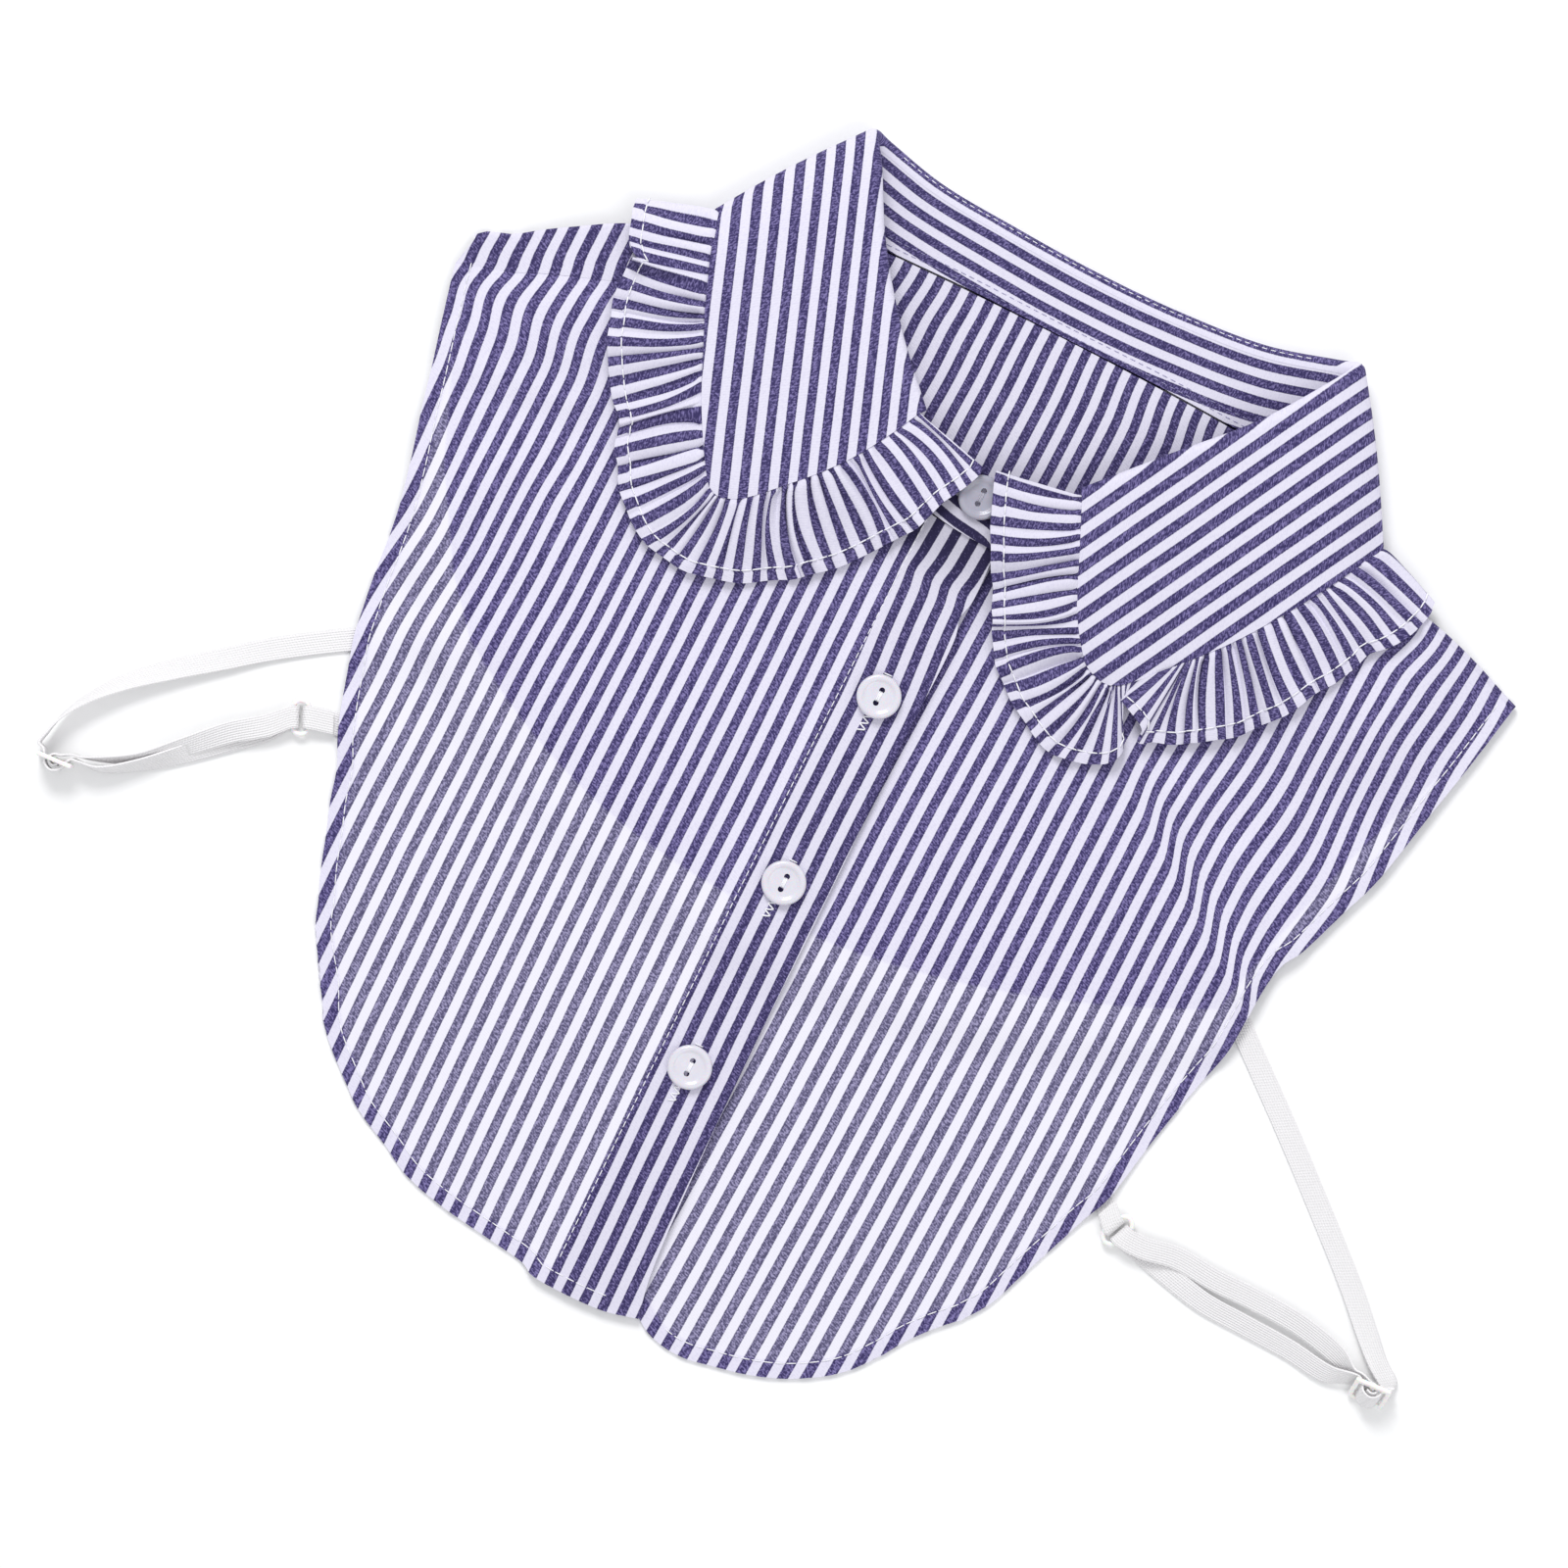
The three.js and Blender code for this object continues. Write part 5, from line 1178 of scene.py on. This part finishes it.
# the stretches: x, y, lift off the surface, tilt; the slider: x, y, lift, turn, tilt; the ring: x, y,
# turn; side: 1 or -1, the way that the band's upper edge leans
STRAPS = {
    "left": {
        "side": 1,
        "upper": [(-106.5, 18.4, 0, 0), (-118, 12.8, 0, 0), (-131.5, 5.5, 0, 0), (-150, -7, 0, 5),
                  (-160, -15, 0, 14), (-170, -23, 0, 25), (-180, -32, 0, 45), (-187, -40.5, 0.5, 68),
                  (-191, -48, 1.2, 84), (-192.4, -53.5, 1.7, 90)],
        "slider": (-187.2, -58.8, 0, 4, 90),
        "out": [(-176, -55.8, 1, 80), (-167, -50.2, 0.2, 60), (-157, -41.5, 0, 35),
                (-148, -33, 0, 16), (-141, -26.5, 0, 2)],
        "back": [(-141.3, -25.2, 2.6, 2), (-149.3, -31.4, 2, 16), (-158.3, -40.2, 1.2, 35),
                 (-167.8, -48.6, 0.5, 60), (-177, -53.4, 1, 80)],
        "ring": (-134.4, -19.2, 115),
        "tab": [(-114, -16.2, 0, 0), (-126, -16.6, 0, 0)],
    },
    "right": {
        "side": -1,
        "upper": [(120.7, 25.4, 0, 0), (128, 19.4, 0, 0), (150, 1.5, 0, 0), (170, -15.5, 0, 0),
                  (184, -27.8, 0, 4), (193, -36.6, 0, 14), (199.5, -42.6, 0, 32),
                  (204.6, -46.2, 0.5, 48)],
        "slider": (200, -50, 0.7, 184, 55),
        "out": [(188, -50.6, 0.6, 34), (176, -49.6, 0, 24), (162, -49.2, 0, 20),
                (150, -48.8, 0, 16), (138, -46.4, 0, 8), (129, -44.2, 0, 1)],
        "back": [(129, -43, 2.6, 1), (138, -41.4, 1.6, 6), (150, -42, 1.2, 10),
                 (162, -41.8, 1.2, 12), (176, -42.4, 1.6, 20), (188, -45, 2, 30)],
        "ring": (121, -42, 67),
        "tab": [(106, -30, 0, 0), (115.8, -37.8, 0, 0)],
    },
}
# the band's way through the slider and round its end bar: along the slider, and out of it
THREADED = [(-5.5, 2.6), (-4, 1.8), (-2.95, 0.2), (-2.1, -1.75), (0, -2.85), (2.1, -1.75),
            (2.95, 0.2), (4, 1.8), (5.8, 2)]
SEWN_END = [(5.8, 3.3), (4, 3.1), (2.4, 2.5), (0.9, 1.75), (-0.4, 1.5), (-1.35, 0.7),
            (-1.35, -0.7), (-0.1, -1.5), (1.2, -0.95)]
WRAP = RING_WIRE + 0.3 + ELASTIC_THICK / 2


def braid_material(name):
    """Elastic braid: lengthwise ribs with a fine knit across them."""
    material, shader = plain_material(name, (0.9, 0.89, 0.9), 0.65)
    n = Nodes(material.node_tree)
    place = n.new("SeparateXYZ", Vector=n.new("UVMap", {"uv_map": "cloth"}).outputs[0]).outputs
    u, v = (n.math("MULTIPLY", place[k], 1000.0) for k in range(2))
    rib = n.math("SINE", n.math("MULTIPLY", u, 2 * math.pi / 0.66))
    knit = n.math("SINE", n.math("MULTIPLY", n.math("MULTIPLY_ADD", u, 0.35, v), 2 * math.pi / 0.8))
    height = n.math("ADD", n.math("MULTIPLY", rib, 0.5), n.math("MULTIPLY", knit, 0.25))
    shade = n.math("MULTIPLY_ADD", height, 0.4, 0.5, clamp=True)
    n.feed(shader.inputs["Base Color"], n.mix(shade, (0.82, 0.8, 0.81, 1), (0.97, 0.96, 0.97, 1)))
    bump = n.new("Bump", Strength=0.6, Distance=0.0003, Height=height)
    n.feed(shader.inputs["Normal"], bump.outputs[0])
    n.feed(shader.inputs["Roughness"], n.math("MULTIPLY_ADD", shade, -0.15, 0.7))
    shader.inputs["Sheen Weight"].default_value = 0.2
    shader.inputs["Sheen Roughness"].default_value = 0.4
    return material


braid = braid_material("elastic_braid")


def level(degrees):
    return np.array([math.cos(math.radians(degrees)), math.sin(math.radians(degrees)), 0])


def lying(rows, side):
    """Middle points of a stretch of band that lies on the surface, and the way across it at each."""
    rows = np.array(rows, float)
    tilt = np.radians(rows[:, 3])
    edge = (ELASTIC_WIDE * np.sin(tilt) + ELASTIC_THICK * np.cos(tilt)) / 2
    points = np.column_stack([rows[:, :2], edge + 0.1 + rows[:, 2]])
    line = SmoothLine(points)
    place = np.linspace(0, 1, len(rows))
    tangent = line.row(np.minimum(place + 0.01, 1)) - line.row(np.maximum(place - 0.01, 0))
    tangent[:, 2] = 0
    tangent /= np.linalg.norm(tangent, axis=1, keepdims=True)
    inward = np.column_stack([-tangent[:, 1], tangent[:, 0], 0 * tilt]) * side
    return points, inward * np.cos(tilt)[:, None] + np.array([0, 0, 1]) * np.sin(tilt)[:, None]


def slider_frame(strap):
    """The ways along, across and out of a slider, and its middle."""
    x, y, lift, turn, tilt = strap["slider"]
    along, tilt = level(turn), math.radians(tilt)
    across = np.array([-along[1], along[0], 0]) * strap["side"] * math.cos(tilt)
    across = across + np.array([0, 0, math.sin(tilt)])
    out = np.cross(across, along) * strap["side"]
    height = (SLOT / 2 + RAIL) * math.sin(tilt) + SLIDER_THICK / 2 * math.cos(tilt) + 0.1 + lift
    return along, across, out, np.array([x, y, height])


def ring_frame(strap):
    """The way along a ring's straight sides, the way from it to the slider, and its middle."""
    x, y, turn = strap["ring"]
    across = level(turn)
    to_strap = np.array([-across[1], across[0], 0]) * strap["side"]
    return across, to_strap, np.array([x, y, WRAP + ELASTIC_THICK / 2 + 0.1])


def round_wire(strap, away):
    """The band's way round one of the ring's straight sides."""
    across, to_strap, centre = ring_frame(strap)
    turns = np.linspace(0, math.pi, 5)[:, None]
    points = centre + to_strap * away * (RING_BEND - WRAP * np.sin(turns))
    points = points - np.array([0, 0, 1]) * WRAP * np.cos(turns)
    return points, np.broadcast_to(across, points.shape)


def band_mesh(name, stations):
    """A stretch of ribbed braid through these points, each with the way across the band there."""
    points, across = (np.vstack([part[k] for part in stations]) for k in range(2))
    share = np.linspace(0, 1, 6 * (len(points) - 1) + 1)
    made = SmoothLine(np.column_stack([points, across])).row(share)
    middle, sideways = made[:, :3], made[:, 3:]
    sideways = sideways / np.linalg.norm(sideways, axis=1, keepdims=True)
    width = np.linspace(-0.5, 0.5, BRAID_COLUMNS) * ELASTIC_WIDE
    grid = middle[:, None] + sideways[:, None] * width[None, :, None]
    travel = np.concatenate([[0], np.cumsum(np.linalg.norm(np.diff(middle, axis=0), axis=1))])
    pattern = np.stack(np.broadcast_arrays(width, travel[:, None]), -1)
    thick = ELASTIC_THICK * (0.72 + 0.18 * (np.arange(BRAID_COLUMNS) % 2))
    thick[[0, -1]] = ELASTIC_THICK * 0.45
    band = cloth_mesh(name, grid, pattern, thick)
    band.data.materials.append(braid)
    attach(band, "root")
    return band


for name, strap in STRAPS.items():
    along, across, out, centre = slider_frame(strap)
    in_slider = [(np.array([centre + along * u + out * n for u, n in rows]),
                  np.broadcast_to(across, (len(rows), 3))) for rows in (THREADED, SEWN_END)]
    stations = [lying(strap["upper"], strap["side"]), in_slider[0], lying(strap["out"], strap["side"]),
                round_wire(strap, 1), lying(strap["back"], -strap["side"]), in_slider[1]]
    band = band_mesh("strap_" + name, stations)
    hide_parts("elastic_" + name)
    under = lying(strap["tab"], strap["side"])[0]
    ring_across = ring_frame(strap)[0]
    stations = [(under, np.broadcast_to(ring_across, under.shape)), round_wire(strap, -1),
                (under[-1:] * (1, 1, 0) + (0, 0, 2 * ELASTIC_THICK + 0.5), ring_across[None])]
    tab = band_mesh("ring_tab_" + name, stations)
    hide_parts("tab_" + name)

# Oval rings and three-bar sliders of milky moulded plastic, with softened edges. The tab holds the
# ring, and the elastic is sewn to the slider's end bar.
RING_STEPS, WIRE_STEPS = 56, 16
SOFT_EDGE = 0.32


def milky_plastic():
    material, shader = plain_material("milky_plastic", (0.93, 0.925, 0.91), 0.3)
    n = Nodes(material.node_tree)
    place = n.new("TexCoord").outputs["Object"]
    cloud = n.noise(n.new("VectorMath", {"operation": "SCALE"}, Vector=place, Scale=420.0).outputs[0])
    n.feed(shader.inputs["Base Color"], n.mix(cloud, (0.86, 0.85, 0.83, 1), (0.95, 0.945, 0.93, 1)))
    n.feed(shader.inputs["Roughness"], n.math("MULTIPLY_ADD", cloud, 0.2, 0.22))
    shader.inputs["Subsurface Weight"].default_value = 0.4
    shader.inputs["Subsurface Scale"].default_value = 0.0015
    return material


plastic = milky_plastic()
for name, strap in STRAPS.items():
    across, to_strap, centre = ring_frame(strap)
    turns = np.arange(RING_STEPS) * 2 * math.pi / RING_STEPS
    path = np.column_stack([RING_BEND * np.cos(turns), RING_BEND * np.sin(turns)])
    path[:, 0] += np.sign(np.round(path[:, 0], 6)) * RING_STRAIGHT / 2
    radial = np.column_stack([np.cos(turns), np.sin(turns)])
    wire = (np.arange(WIRE_STEPS) * 2 * math.pi / WIRE_STEPS)[None, :, None]
    surface = path[:, None] + radial[:, None] * RING_WIRE * np.cos(wire)
    points = (centre + surface[..., :1] * across + surface[..., 1:] * to_strap
              + RING_WIRE * np.sin(wire) * np.array([0, 0, 1]))
    index = np.arange(RING_STEPS * WIRE_STEPS).reshape(RING_STEPS, WIRE_STEPS)
    onward, around = np.roll(index, -1, 0), np.roll(index, -1, 1)
    both = np.roll(onward, -1, 1)
    faces = np.stack([index, onward, both, around], -1).reshape(-1, 4)
    if strap["side"] < 0:
        faces = faces[:, ::-1]
    mesh = bpy.data.meshes.new("ring_" + name + "_moulded")
    mesh.from_pydata((points.reshape(-1, 3) * MM).tolist(), [], faces.tolist())
    mesh.shade_smooth()
    mesh.materials.append(plastic)
    ring = bpy.data.objects.new(mesh.name, mesh)
    bpy.context.scene.collection.objects.link(ring)
    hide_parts("ring_" + name)
    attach(ring, "root")

    along, across, out, centre = slider_frame(strap)
    xs = np.array([bar + edge * BAR / 2 for bar in (-PITCH, 0, PITCH) for edge in (-1, 1)])
    ys = np.array([-SLOT / 2 - RAIL, -SLOT / 2, SLOT / 2, SLOT / 2 + RAIL])
    plate = centre + along * xs[:, None, None] + across * ys[None, :, None]
    solid = np.ones((5, 3), bool)
    solid[[1, 3], 1] = False
    slider = cloth_mesh("slider_" + name + "_moulded", plate, np.zeros((6, 4, 2)), SLIDER_THICK, solid)
    bevel = slider.modifiers.new("soft_edges", "BEVEL")
    bevel.width = SOFT_EDGE * MM
    bevel.segments = 3
    keep_modified_shape(slider)
    slider.data.shade_smooth()
    slider.data.set_sharp_from_angle(angle=math.radians(35))
    slider.data.materials.append(plastic)
    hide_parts("slider_" + name)
    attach(slider, "root")
